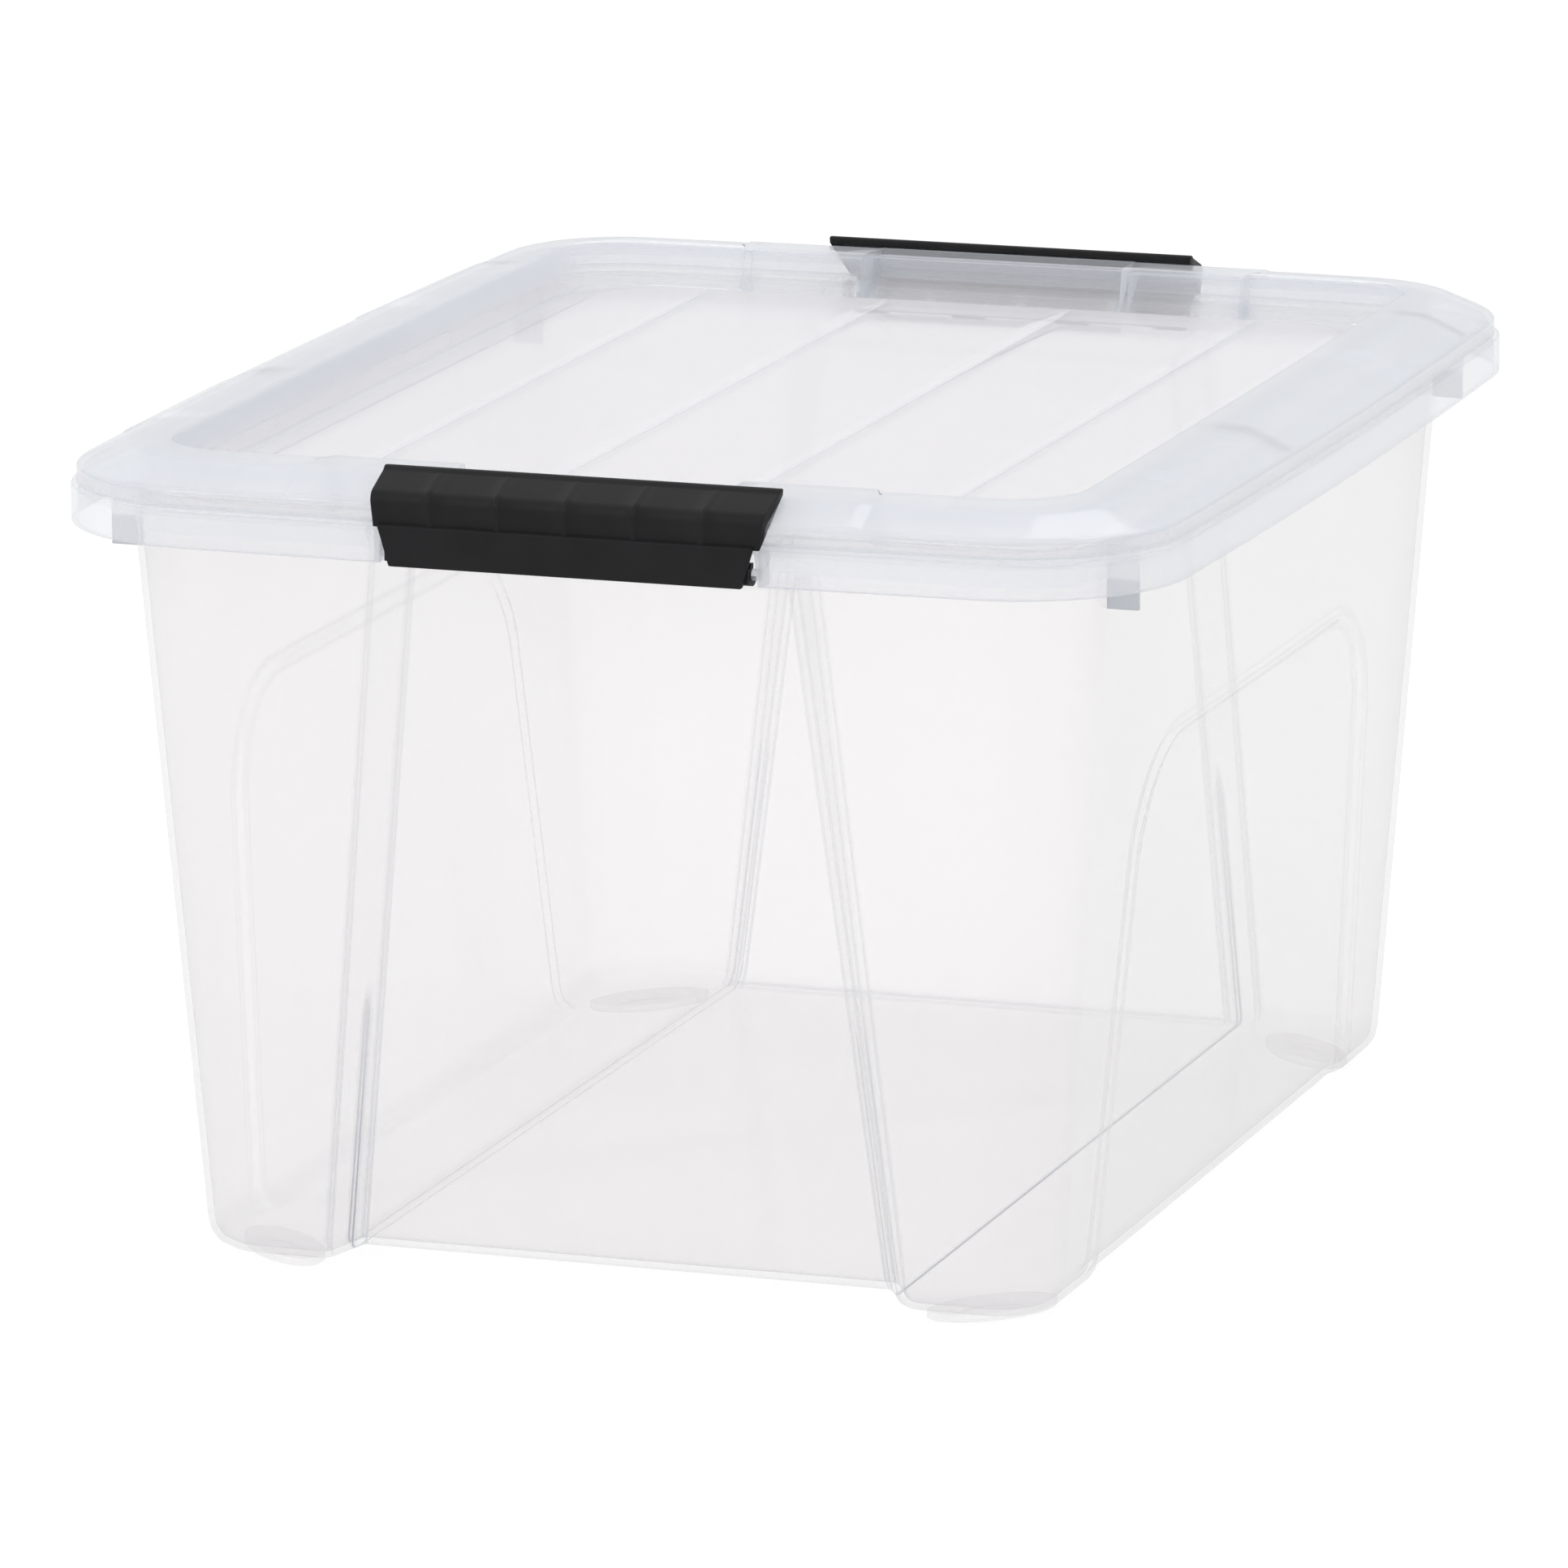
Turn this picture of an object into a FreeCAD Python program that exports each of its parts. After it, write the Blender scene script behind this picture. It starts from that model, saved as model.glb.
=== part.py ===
import FreeCAD, Part
import math
import os
from collections import namedtuple

# A clear polypropylene storage bin with a lift-off stacking lid and two black latches.
# Millimetres. +Z is up, X runs across the bin and Y runs from the front latch to the rear
# latch. The origin is on the floor under the middle of the bin.

Vector = FreeCAD.Vector

# --- driving dimensions ------------------------------------------------------------------

WALL = 2.2

# Height at which cutting blocks start, under the bin, and how far others run past their cut.
BELOW = -2.0
MARGIN = 5.0

FLANGE_HALF_X = 200.0
FLANGE_HALF_Y = 245.0
FLANGE_CORNER = 58.0
SIDE_BOW_RADIUS = 6000.0
END_BOW_RADIUS = 5000.0
FLANGE_TOP = 270.4
FLANGE_BOTTOM = 257.0

MOUTH_HALF_X = 173.9
MOUTH_HALF_Y = 222.8
MOUTH_CORNER = 27.0
BASE_HALF_X = 154.3
BASE_HALF_Y = 208.2
BASE_CORNER = 24.0
BODY_BOW_RADIUS = 30000.0
BASE_Z = 3.0
BASE_ROUND = 10.0
BASE_ROUND_INSET = 4.0
# Foot of the wall as (share of the round's height, share of its inset).
BASE_ROUND_LINE = ((0.0, 1.0), (0.3, 0.35), (0.65, 0.08), (1.0, 0.0))

FLOOR_RAISE = 3.8
FLOOR_RAISE_HALF = 94.0
FLOOR_RAISE_SLOPE = 14.0

END_PANEL_TOP = 250.0
END_PANEL_ROOF = 259.0
END_PANEL_TOP_Y = 212.0
END_PANEL_BASE_Y = 194.3
END_PANEL_TOP_HALF = 67.0
END_PANEL_BASE_HALF = 95.5
END_BEVEL_TOP = 10.5
END_BEVEL_BASE = 7.5
END_FLANK_REACH = 1.5

SIDE_PANEL_DEPTH = 3.0
SIDE_PANEL_TOP = 184.0
SIDE_PANEL_TOP_HALF = 131.5
SIDE_PANEL_BASE_HALF = 150.0
SIDE_PANEL_CORNER = 40.0
SIDE_PANEL_FLARE = 3.0
SIDE_PANEL_START = 100.0

FOOT_X = 128.0
FOOT_Y = 185.0
FOOT_LONG = 24.0
FOOT_SHORT = 11.0

STOP_Y = 195.0
STOP_REACH = 182.5
STOP_BOTTOM = 247.0

LID_GAP = 0.3
LID_SKIRT_INSET = 2.0
LID_SKIRT_TOP = 276.2
LID_SLOPE_FOOT_INSET = 3.5
LID_SLOPE_FOOT = 277.6
LID_CROWN_INSET = 18.0
LID_CROWN = 284.2
# How much of the thickness the inner surface moves at each break of the rim: down at the top
# of the skirt and at the foot of the slope, and sideways at the crown.
SKIRT_TOP_SHARE = 0.4
SLOPE_FOOT_SHARE = 0.7
CROWN_SHARE = 0.3
PAN_RIM_HALF_X = 162.5
PAN_RIM_HALF_Y = 212.0
PAN_RIM_CORNER = 26.0
PAN_RIM_Z = 285.0
PAN_DRAFT = 3.5
PAN_Z = 268.0
FIELD_HALF_X = 141.0
FIELD_HALF_Y = 192.0
FIELD_CORNER = 20.0
FIELD_RISE = 4.0
FIELD_BEVEL = 8.0
GROOVE_PITCH = 70.0
GROOVE_COUNT = 4
GROOVE_RADIUS = 1.6
GROOVE_DEPTH = 0.9
RIB_HALF_X = 170.2
RIB_HALF_Y = 219.0
RIB_CORNER = 23.0
RIB_BOTTOM = 263.5
POCKET_HALF = 49.0
POCKET_CROWN_Y = 226.0
POCKET_DEPTH = 0.4
RAMP_CROWN_DROP = 4.5
RAMP_OUT = 2.0
RAMP_IN = 3.0
SHOULDER_HALF = 97.0
SHOULDER_STEP = 4.0

HINGE_Y = 241.0
HINGE_Z = 260.6
HINGE_PIN_RADIUS = 2.0
HINGE_PLAY = 0.08
CHEEK_FRONT_Y = 243.8
CHEEK_BACK_Y = 238.0
NOTCH_BACK_Y = 239.8
HOOK_WALL = 1.8
HOOK_WIDTH = 12.0
HOOK_ARM_HALF = 2.4
HOOK_ARM_SINK = 0.6
HOOK_POSITIONS = (-58.0, -20.0, 20.0, 58.0)
PIN_WEB_POSITIONS = (-35.0, 0.0, 35.0)
NOTCH_HALF = 66.6

LIP_HALF = 70.0
LATCH_WAIST_HALF = 68.0
PANEL_TOP_HALF = 66.0
PANEL_BASE_HALF = 62.0
SEAM_Z = 270.6
PANEL_BASE_Z = 256.8
PANEL_FACE_Y = 248.0
PANEL_BACK_Y = 245.6
BEAD_RADIUS = 1.4
BEAD_Y = 228.4
BEAD_Z = 286.05
GRIP_FACE_Y = 246.2
GRIP_BACK_Y = 243.8
GRIP_RIB_COUNT = 5
GRIP_RIB_PITCH = 24.5
GRIP_RIB_WIDTH = 2.4
GRIP_RIB_HEIGHT = 0.8

# --- outlines ----------------------------------------------------------------------------

# A rounded rectangle whose sides are slightly bowed arcs. side_x is the radius of the arcs
# that lie across X, and side_y of the arcs that lie across Y.
Outline = namedtuple("Outline", "half_x half_y corner side_x side_y")

FLANGE = Outline(FLANGE_HALF_X, FLANGE_HALF_Y, FLANGE_CORNER, SIDE_BOW_RADIUS, END_BOW_RADIUS)
MOUTH = Outline(MOUTH_HALF_X, MOUTH_HALF_Y, MOUTH_CORNER, BODY_BOW_RADIUS, BODY_BOW_RADIUS)
BASE = Outline(BASE_HALF_X, BASE_HALF_Y, BASE_CORNER, BODY_BOW_RADIUS, BODY_BOW_RADIUS)
PAN_RIM = Outline(PAN_RIM_HALF_X, PAN_RIM_HALF_Y, PAN_RIM_CORNER, BODY_BOW_RADIUS, BODY_BOW_RADIUS)
FIELD = Outline(FIELD_HALF_X, FIELD_HALF_Y, FIELD_CORNER, BODY_BOW_RADIUS, BODY_BOW_RADIUS)
RIB = Outline(RIB_HALF_X, RIB_HALF_Y, RIB_CORNER, BODY_BOW_RADIUS, BODY_BOW_RADIUS)


def inset(outline, amount):
    """The parallel outline, amount further in."""
    return Outline(*(value - amount for value in outline))


def narrowed(outline, amount):
    """The same outline with its two long sides moved in by amount."""
    return outline._replace(half_x=outline.half_x - amount)


def corner_centre(outline):
    """Centre of the first-quadrant corner arc, tangent inside to both neighbouring sides."""
    ax = outline.half_x - outline.side_x
    by = outline.half_y - outline.side_y
    reach_a = outline.side_x - outline.corner
    reach_b = outline.side_y - outline.corner
    span = math.hypot(ax, by)
    along = (reach_a ** 2 - reach_b ** 2 + span ** 2) / (2 * span)
    across = math.sqrt(reach_a ** 2 - along ** 2)
    ux = -ax / span
    uy = by / span
    return ax + ux * along - uy * across, uy * along + ux * across


def outline_wire(outline, z):
    """Closed wire of four side arcs and four corner arcs at height z."""
    cx, cy = corner_centre(outline)
    cx, cy = abs(cx), abs(cy)
    ax = outline.half_x - outline.side_x
    by = outline.half_y - outline.side_y
    side_angle = math.atan2(cy, cx - ax)
    end_angle = math.atan2(cy - by, cx)
    side_end = (ax + outline.side_x * math.cos(side_angle), outline.side_x * math.sin(side_angle))
    end_start = (outline.side_y * math.cos(end_angle), by + outline.side_y * math.sin(end_angle))
    middle_angle = (side_angle + end_angle) / 2
    middle = (cx + outline.corner * math.cos(middle_angle), cy + outline.corner * math.sin(middle_angle))
    edges = []
    for sx, sy in ((1, 1), (-1, 1), (-1, -1), (1, -1)):
        quarter = [Vector(sx * x, sy * y, z) for x, y in (side_end, middle, end_start)]
        if sx * sy < 0:
            quarter.reverse()
        edges.append(Part.Arc(*quarter).toShape())
        if sx * sy > 0:
            mid = Vector(0, sy * outline.half_y, z)
            far = Vector(-quarter[2].x, quarter[2].y, z)
        else:
            mid = Vector(sx * outline.half_x, 0, z)
            far = Vector(quarter[2].x, -quarter[2].y, z)
        edges.append(Part.Arc(quarter[2], mid, far).toShape())
    return Part.Wire(edges)


def loft(*sections):
    """Solid through (outline, z) sections from bottom to top."""
    return Part.makeLoft([outline_wire(outline, z) for outline, z in sections], True, True)


def prism(outline, z_low, z_high):
    """Straight upright solid of one outline."""
    return Part.Face(outline_wire(outline, z_low)).extrude(Vector(0, 0, z_high - z_low))


def box(x_low, x_high, y_low, y_high, z_low, z_high):
    """Rectangular block between two corners."""
    size = (x_high - x_low, y_high - y_low, z_high - z_low)
    return Part.makeBox(*size, Vector(x_low, y_low, z_low))


def bar_of(points, x_low, x_high):
    """Solid of a (y, z) polygon run along X."""
    face = Part.Face(Part.makePolygon([Vector(x_low, y, z) for y, z in points + points[:1]]))
    return face.extrude(Vector(x_high - x_low, 0, 0))


def across(points, y_low, y_high):
    """Solid of an (x, z) polygon run along Y."""
    face = Part.Face(Part.makePolygon([Vector(x, y_low, z) for x, z in points + points[:1]]))
    return face.extrude(Vector(0, y_high - y_low, 0))


def between(near, far):
    """Solid between two flat rings of corner points, joined corner to corner."""
    rims = [[Part.makeLine(a, b) for a, b in zip(ring, ring[1:] + ring[:1])] for ring in (near, far)]
    faces = [Part.Face(Part.Wire(rim)) for rim in rims]
    faces += [Part.makeRuledSurface(low, high) for low, high in zip(*rims)]
    solid = Part.Solid(Part.Shell(faces))
    if solid.Volume < 0:
        solid.reverse()
    return solid


def rear_copy(shape):
    """The same shape mirrored to the rear of the bin."""
    return shape.mirror(Vector(0, 0, 0), Vector(0, 1, 0))


def both_ends(shape):
    """A front shape and its rear copy."""
    return [shape, rear_copy(shape)]


def four_corners(shape):
    """A shape from the front right corner, copied to all four corners."""
    pair = [shape, shape.mirror(Vector(0, 0, 0), Vector(1, 0, 0))]
    return pair + [rear_copy(item) for item in pair]


# --- bin body ----------------------------------------------------------------------------

def wall_outline(z):
    """Outline of the tapered outer wall at height z."""
    share = (z - BASE_Z) / (FLANGE_TOP - BASE_Z)
    return Outline(*(low + (high - low) * share for low, high in zip(BASE, MOUTH)))


def tub(thickness, side_inset, top):
    """Tapered block with a rounded foot, thickness further in than the outer wall."""
    floor = BASE_Z + thickness
    sections = []
    for step, curve in BASE_ROUND_LINE:
        z = floor + BASE_ROUND * step
        outline = inset(wall_outline(z), thickness + BASE_ROUND_INSET * curve)
        sections.append((narrowed(outline, side_inset), z))
    sections.append((narrowed(inset(wall_outline(top), thickness), side_inset), top))
    return loft(*sections)


def end_panel(grow):
    """Block that sinks the front end panel; grow thickens it for the inside of the wall."""
    def ring(half_top, half_base, y_top, y_base, z_top):
        points = [(-half_base, -y_base, BELOW), (half_base, -y_base, BELOW),
                  (half_top, -y_top, z_top), (-half_top, -y_top, z_top)]
        return [Vector(*point) for point in points]

    inner = ring(END_PANEL_TOP_HALF + grow, END_PANEL_BASE_HALF + grow,
                 END_PANEL_TOP_Y - grow, END_PANEL_BASE_Y - grow, END_PANEL_TOP + grow)
    outer = ring(END_PANEL_TOP_HALF + END_BEVEL_TOP + grow, END_PANEL_BASE_HALF + END_BEVEL_BASE + grow,
                 wall_outline(END_PANEL_ROOF).half_y, wall_outline(BASE_Z).half_y, END_PANEL_ROOF + grow)
    far = [start + (end - start) * END_FLANK_REACH for start, end in zip(inner, outer)]
    return between(inner, far)


def side_panel(grow):
    """Upright block with rounded top corners that marks the right-hand side panel."""
    base = SIDE_PANEL_BASE_HALF + grow
    half = SIDE_PANEL_TOP_HALF + grow
    top = SIDE_PANEL_TOP + grow
    radius = SIDE_PANEL_CORNER + grow
    turn = radius * (1 - math.sqrt(0.5))
    points = {"foot": (base, BELOW), "low": (half + SIDE_PANEL_FLARE, top - radius),
              "mid": (half + SIDE_PANEL_FLARE / 2 - turn, top - turn), "high": (half - radius, top)}
    right = {name: Vector(SIDE_PANEL_START, y, z) for name, (y, z) in points.items()}
    left = {name: Vector(SIDE_PANEL_START, -y, z) for name, (y, z) in points.items()}
    edges = [Part.makeLine(left["foot"], right["foot"]), Part.makeLine(right["foot"], right["low"]),
             Part.Arc(right["low"], right["mid"], right["high"]).toShape(),
             Part.makeLine(right["high"], left["high"]),
             Part.Arc(left["high"], left["mid"], left["low"]).toShape(),
             Part.makeLine(left["low"], left["foot"])]
    return Part.Face(Part.Wire(edges)).extrude(Vector(MOUTH_HALF_X, 0, 0))


def sunk_tub(thickness, top):
    """Tapered block with the two side panels and the two end panels sunk into it."""
    block = tub(thickness, 0.0, top)
    core = tub(thickness, SIDE_PANEL_DEPTH, top)
    panel = side_panel(thickness).cut(core)
    block = block.cut(panel).cut(panel.mirror(Vector(0, 0, 0), Vector(1, 0, 0)))
    for recess in both_ends(end_panel(thickness)):
        block = block.cut(recess)
    return block


def floor_channel(top, half, low):
    """Bar under the middle of the floor, with sloping flanks."""
    flank = half + FLOOR_RAISE_SLOPE
    return across([(-flank, low), (flank, low), (flank, BASE_Z), (half, top), (-half, top),
                   (-flank, BASE_Z)], -BASE_HALF_Y - MARGIN, BASE_HALF_Y + MARGIN)


def foot():
    """Oval pad set across the front right corner of the base."""
    ellipse = Part.Ellipse(Vector(0, 0, 0), FOOT_LONG, FOOT_SHORT)
    pad = Part.Face(Part.Wire(ellipse.toShape())).extrude(Vector(0, 0, BASE_Z + WALL / 2))
    pad.rotate(Vector(0, 0, 0), Vector(0, 0, 1), 45)
    pad.translate(Vector(FOOT_X, -FOOT_Y, 0))
    return pad


def nesting_stop():
    """Upright rib under the flange that keeps nested bins from jamming."""
    inner = wall_outline(STOP_BOTTOM).half_x - WALL / 2
    return box(inner, STOP_REACH, -STOP_Y - WALL / 2, -STOP_Y + WALL / 2, STOP_BOTTOM, FLANGE_TOP - WALL / 2)


def hinge_pin():
    """Hinge bar in the front of the flange, with the cheeks and webs that carry it."""
    web_top = FLANGE_TOP - WALL / 2
    pieces = [Part.makeCylinder(HINGE_PIN_RADIUS, 2 * NOTCH_HALF + WALL,
                                Vector(-NOTCH_HALF - WALL / 2, -HINGE_Y, HINGE_Z), Vector(1, 0, 0))]
    for x in PIN_WEB_POSITIONS:
        pieces.append(box(x - WALL / 2, x + WALL / 2, -HINGE_Y - HINGE_PIN_RADIUS,
                          -HINGE_Y + HINGE_PIN_RADIUS, HINGE_Z, web_top))
    for side in (-1, 1):
        low, high = sorted((side * NOTCH_HALF, side * (NOTCH_HALF + WALL)))
        pieces.append(box(low, high, -CHEEK_FRONT_Y, -CHEEK_BACK_Y, FLANGE_BOTTOM, web_top))
    return pieces[0].multiFuse(pieces[1:])


def bin_body():
    """The whole clear moulding: walls, floor, feet, flange and hinge bars."""
    outside = sunk_tub(0.0, FLANGE_TOP)
    inside = sunk_tub(WALL, FLANGE_TOP + MARGIN)
    flange = prism(FLANGE, FLANGE_BOTTOM, FLANGE_TOP)
    flange = flange.cut(prism(inset(FLANGE, WALL), FLANGE_BOTTOM - MARGIN, FLANGE_TOP - WALL))
    notch = box(-NOTCH_HALF, NOTCH_HALF, -FLANGE_HALF_Y - MARGIN, -NOTCH_BACK_Y,
                FLANGE_BOTTOM - MARGIN, FLANGE_TOP - WALL)
    for opening in both_ends(notch):
        flange = flange.cut(opening)
    raised = floor_channel(BASE_Z + FLOOR_RAISE + WALL, FLOOR_RAISE_HALF + WALL / 2, BASE_Z).common(outside)
    body = outside.fuse(flange).cut(inside).fuse(raised)
    body = body.cut(floor_channel(BASE_Z + FLOOR_RAISE, FLOOR_RAISE_HALF, BELOW))
    extras = four_corners(foot()) + four_corners(nesting_stop()) + both_ends(hinge_pin())
    return body.multiFuse(extras)


# --- lid ---------------------------------------------------------------------------------

def lid_cap(thickness):
    """Block under the lid's outer surface, thickness further in and lower."""
    skirt = inset(FLANGE, LID_SKIRT_INSET + thickness)
    slope_foot = inset(FLANGE, LID_SLOPE_FOOT_INSET + thickness)
    crown = inset(FLANGE, LID_CROWN_INSET + thickness * CROWN_SHARE)
    return loft((skirt, FLANGE_TOP + LID_GAP - 2 * thickness),
                (skirt, LID_SKIRT_TOP - thickness * SKIRT_TOP_SHARE),
                (slope_foot, LID_SLOPE_FOOT - thickness * SLOPE_FOOT_SHARE),
                (crown, LID_CROWN - thickness),
                (inset(PAN_RIM, -thickness), PAN_RIM_Z - thickness))


def pan(grow, z_low, z_high):
    """Tapered block of the sunken panel; grow thickens it to the outside of the pan wall."""
    slope = PAN_DRAFT / (PAN_RIM_Z - PAN_Z)
    low = inset(PAN_RIM, (PAN_RIM_Z - z_low) * slope - grow)
    high = inset(PAN_RIM, (PAN_RIM_Z - z_high) * slope - grow)
    return loft((low, z_low), (high, z_high))


def pan_shoulder():
    """Blocks beside the front latch pocket, where the pan wall steps inward."""
    blocks = []
    for side in (-1, 1):
        low, high = sorted((side * POCKET_HALF, side * SHOULDER_HALF))
        front = -PAN_RIM_HALF_Y
        back = front + SHOULDER_STEP
        blocks.append(bar_of([(front - 1, PAN_Z - 1), (back + PAN_DRAFT, PAN_Z - 1), (back, PAN_RIM_Z),
                              (front - 1, PAN_RIM_Z)], low, high))
    return blocks


def pocket_ramp():
    """Wedge that closes the front latch pocket below and at both of its ends."""
    foot_y = -(PAN_RIM_HALF_Y - PAN_DRAFT)
    return bar_of([(foot_y + RAMP_IN, PAN_Z - WALL), (foot_y - RAMP_OUT, PAN_Z - WALL),
                   (-POCKET_CROWN_Y - RAMP_OUT, LID_CROWN - RAMP_CROWN_DROP), (-POCKET_CROWN_Y, LID_CROWN),
                   (foot_y + RAMP_IN, PAN_RIM_Z)], -POCKET_HALF - WALL, POCKET_HALF + WALL)


def pocket_cut():
    """Space above the ramp of the front latch pocket."""
    foot_y = -(PAN_RIM_HALF_Y - PAN_DRAFT)
    return bar_of([(foot_y + MARGIN, PAN_Z), (foot_y, PAN_Z), (-POCKET_CROWN_Y, LID_CROWN - POCKET_DEPTH),
                   (-POCKET_CROWN_Y, PAN_RIM_Z + MARGIN), (foot_y + MARGIN, PAN_RIM_Z + MARGIN)],
                  -POCKET_HALF, POCKET_HALF)


def field(lower):
    """Raised middle of the panel, lower by the given amount for its underside."""
    rise = PAN_Z + FIELD_RISE - lower
    return loft((inset(FIELD, -FIELD_BEVEL), PAN_Z - WALL - 1), (inset(FIELD, -FIELD_BEVEL), PAN_Z - lower),
                (FIELD, rise))


def grooves():
    """Shallow round grooves that run from the front to the rear of the panel."""
    rods = []
    axis_z = PAN_Z + FIELD_RISE + GROOVE_RADIUS - GROOVE_DEPTH
    for index in range(GROOVE_COUNT):
        x = (index - (GROOVE_COUNT - 1) / 2) * GROOVE_PITCH
        rods.append(Part.makeCylinder(GROOVE_RADIUS, 2 * FIELD_HALF_Y, Vector(x, -FIELD_HALF_Y, axis_z),
                                      Vector(0, 1, 0)))
    return rods


def lid():
    """The clear lid: rim, sunken panel with a raised ribbed field, and locating rib."""
    shell = lid_cap(0.0).cut(lid_cap(WALL))
    rib = prism(RIB, RIB_BOTTOM, LID_CROWN - WALL / 2)
    rib = rib.cut(prism(inset(RIB, WALL), RIB_BOTTOM - MARGIN, PAN_RIM_Z))
    ramps = both_ends(pocket_ramp())
    solid = shell.multiFuse([pan(WALL, PAN_Z - WALL, PAN_RIM_Z - WALL / 2), rib] + ramps)
    hollow = pan(0.0, PAN_Z, PAN_RIM_Z + 1)
    for block in pan_shoulder():
        for copy in both_ends(block):
            hollow = hollow.cut(copy)
    solid = solid.cut(hollow)
    for space in both_ends(pocket_cut()):
        solid = solid.cut(space)
    solid = solid.fuse(field(0.0)).cut(field(WALL))
    for groove in grooves():
        solid = solid.cut(groove)
    return solid


# --- latches -----------------------------------------------------------------------------

# Outer line of the gripping part, from the lip down to the seam, as (distance out, height).
GRIP_LINE = [(229.3, 286.6), (243.0, 281.5), (245.4, 280.0), (GRIP_FACE_Y, 278.0),
             (GRIP_FACE_Y, SEAM_Z + 1.0)]
# Inner line, from the seam up over the lid edge to the lip.
INNER_LINE = [(PANEL_BACK_Y, SEAM_Z - 1.2), (PANEL_BACK_Y, SEAM_Z + 0.7), (GRIP_BACK_Y, SEAM_Z + 1.3),
              (GRIP_BACK_Y, 277.2), (242.6, 279.1), (238.0, 280.8), (229.2, 284.2), (227.0, 284.65)]
# Outer line of the flat panel, from its foot up to the seam and back down the face.
PANEL_LINE = [(PANEL_BACK_Y, PANEL_BASE_Z), (PANEL_BACK_Y, SEAM_Z + 0.7), (GRIP_FACE_Y, SEAM_Z + 1.0),
              (PANEL_FACE_Y, SEAM_Z - 0.4), (PANEL_FACE_Y, PANEL_BASE_Z + 0.6),
              (PANEL_FACE_Y - 0.6, PANEL_BASE_Z)]
# Inner end of each grip rib, buried in the gripping part.
RIB_ROOT = [(GRIP_BACK_Y, SEAM_Z + 1.3), (GRIP_BACK_Y, 278.0), (229.3, 285.6)]


def mirrored(points):
    """Front (y, z) points from (distance out, height) pairs."""
    return [(-out, z) for out, z in points]


def tapered(points, half_low, half_high, z_low, z_high):
    """Solid of a front profile with slanted ends, half_low wide at z_low."""
    block = bar_of(mirrored(points), -LIP_HALF - MARGIN, LIP_HALF + MARGIN)
    gauge = across([(-half_low, z_low), (half_low, z_low), (half_high, z_high), (-half_high, z_high)],
                   -PANEL_FACE_Y - MARGIN, -MOUTH_HALF_Y)
    return block.common(gauge)


def hook(x):
    """Open ring that snaps over the hinge bar, with the arm that joins it to the panel."""
    radius = HINGE_PIN_RADIUS + HINGE_PLAY
    start = Vector(x - HOOK_WIDTH / 2, -HINGE_Y, HINGE_Z)
    ring = Part.makeCylinder(radius + HOOK_WALL, HOOK_WIDTH, start, Vector(1, 0, 0))
    arm = box(x - HOOK_WIDTH / 2, x + HOOK_WIDTH / 2, -PANEL_BACK_Y - HOOK_ARM_SINK, -HINGE_Y,
              HINGE_Z - HOOK_ARM_HALF, HINGE_Z + HOOK_ARM_HALF)
    bore = Part.makeCylinder(radius, HOOK_WIDTH + 2, start - Vector(1, 0, 0), Vector(1, 0, 0))
    mouth = bar_of([(-HINGE_Y, HINGE_Z), (-HINGE_Y + 6, HINGE_Z - 1.5), (-HINGE_Y + 6, HINGE_Z + 6),
                    (-HINGE_Y + 0.5, HINGE_Z + 6)], x - HOOK_WIDTH, x + HOOK_WIDTH)
    return ring.fuse(arm).cut(bore).cut(mouth)


def front_latch():
    """Black latch: gripping part with five ribs and a bead lip, flat panel and hooks."""
    grip = tapered(GRIP_LINE + INNER_LINE, LATCH_WAIST_HALF, LIP_HALF, SEAM_Z - 1.2, 288.0)
    panel = tapered(PANEL_LINE, PANEL_BASE_HALF, PANEL_TOP_HALF, PANEL_BASE_Z, SEAM_Z + 1.0)
    bead = Part.makeCylinder(BEAD_RADIUS, 2 * LIP_HALF, Vector(-LIP_HALF, -BEAD_Y, BEAD_Z), Vector(1, 0, 0))
    raised = [(out + GRIP_RIB_HEIGHT * 0.5, z + GRIP_RIB_HEIGHT) for out, z in GRIP_LINE[:2]]
    raised += [(out + GRIP_RIB_HEIGHT, z + GRIP_RIB_HEIGHT * 0.4) for out, z in GRIP_LINE[2:]]
    profile = mirrored(raised + GRIP_LINE[-1:] + RIB_ROOT)
    ribs = []
    for index in range(GRIP_RIB_COUNT):
        x = (index - (GRIP_RIB_COUNT - 1) / 2) * GRIP_RIB_PITCH
        ribs.append(bar_of(profile, x - GRIP_RIB_WIDTH / 2, x + GRIP_RIB_WIDTH / 2))
    return grip.multiFuse([panel, bead] + ribs + [hook(x) for x in HOOK_POSITIONS])


# --- export ------------------------------------------------------------------------------

def main():
    """Write one STEP file per piece."""
    os.makedirs("parts", exist_ok=True)
    latch = front_latch()
    nodes = {"bin_body": bin_body(), "lid": lid(), "front_latch": latch, "rear_latch": rear_copy(latch)}
    for name, shape in nodes.items():
        whole = shape.removeSplitter()
        whole.exportStep(f"parts/{name}.step")
        limits = whole.optimalBoundingBox()
        print(f"{name}: {len(whole.Solids)} solid, valid {whole.isValid()}, {whole.Volume / 1000:.1f} cm3,",
              f"{limits.XLength:.1f} x {limits.YLength:.1f} mm, z {limits.ZMin:.1f} to {limits.ZMax:.1f}")


main()
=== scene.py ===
"""A clear storage bin with a lift-off stacking lid and two black latches, in a white studio."""

import logging
from collections.abc import Sequence
from dataclasses import dataclass, replace
from enum import Enum

import bmesh
import bpy
import numpy as np
from mathutils import Matrix, Vector


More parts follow.
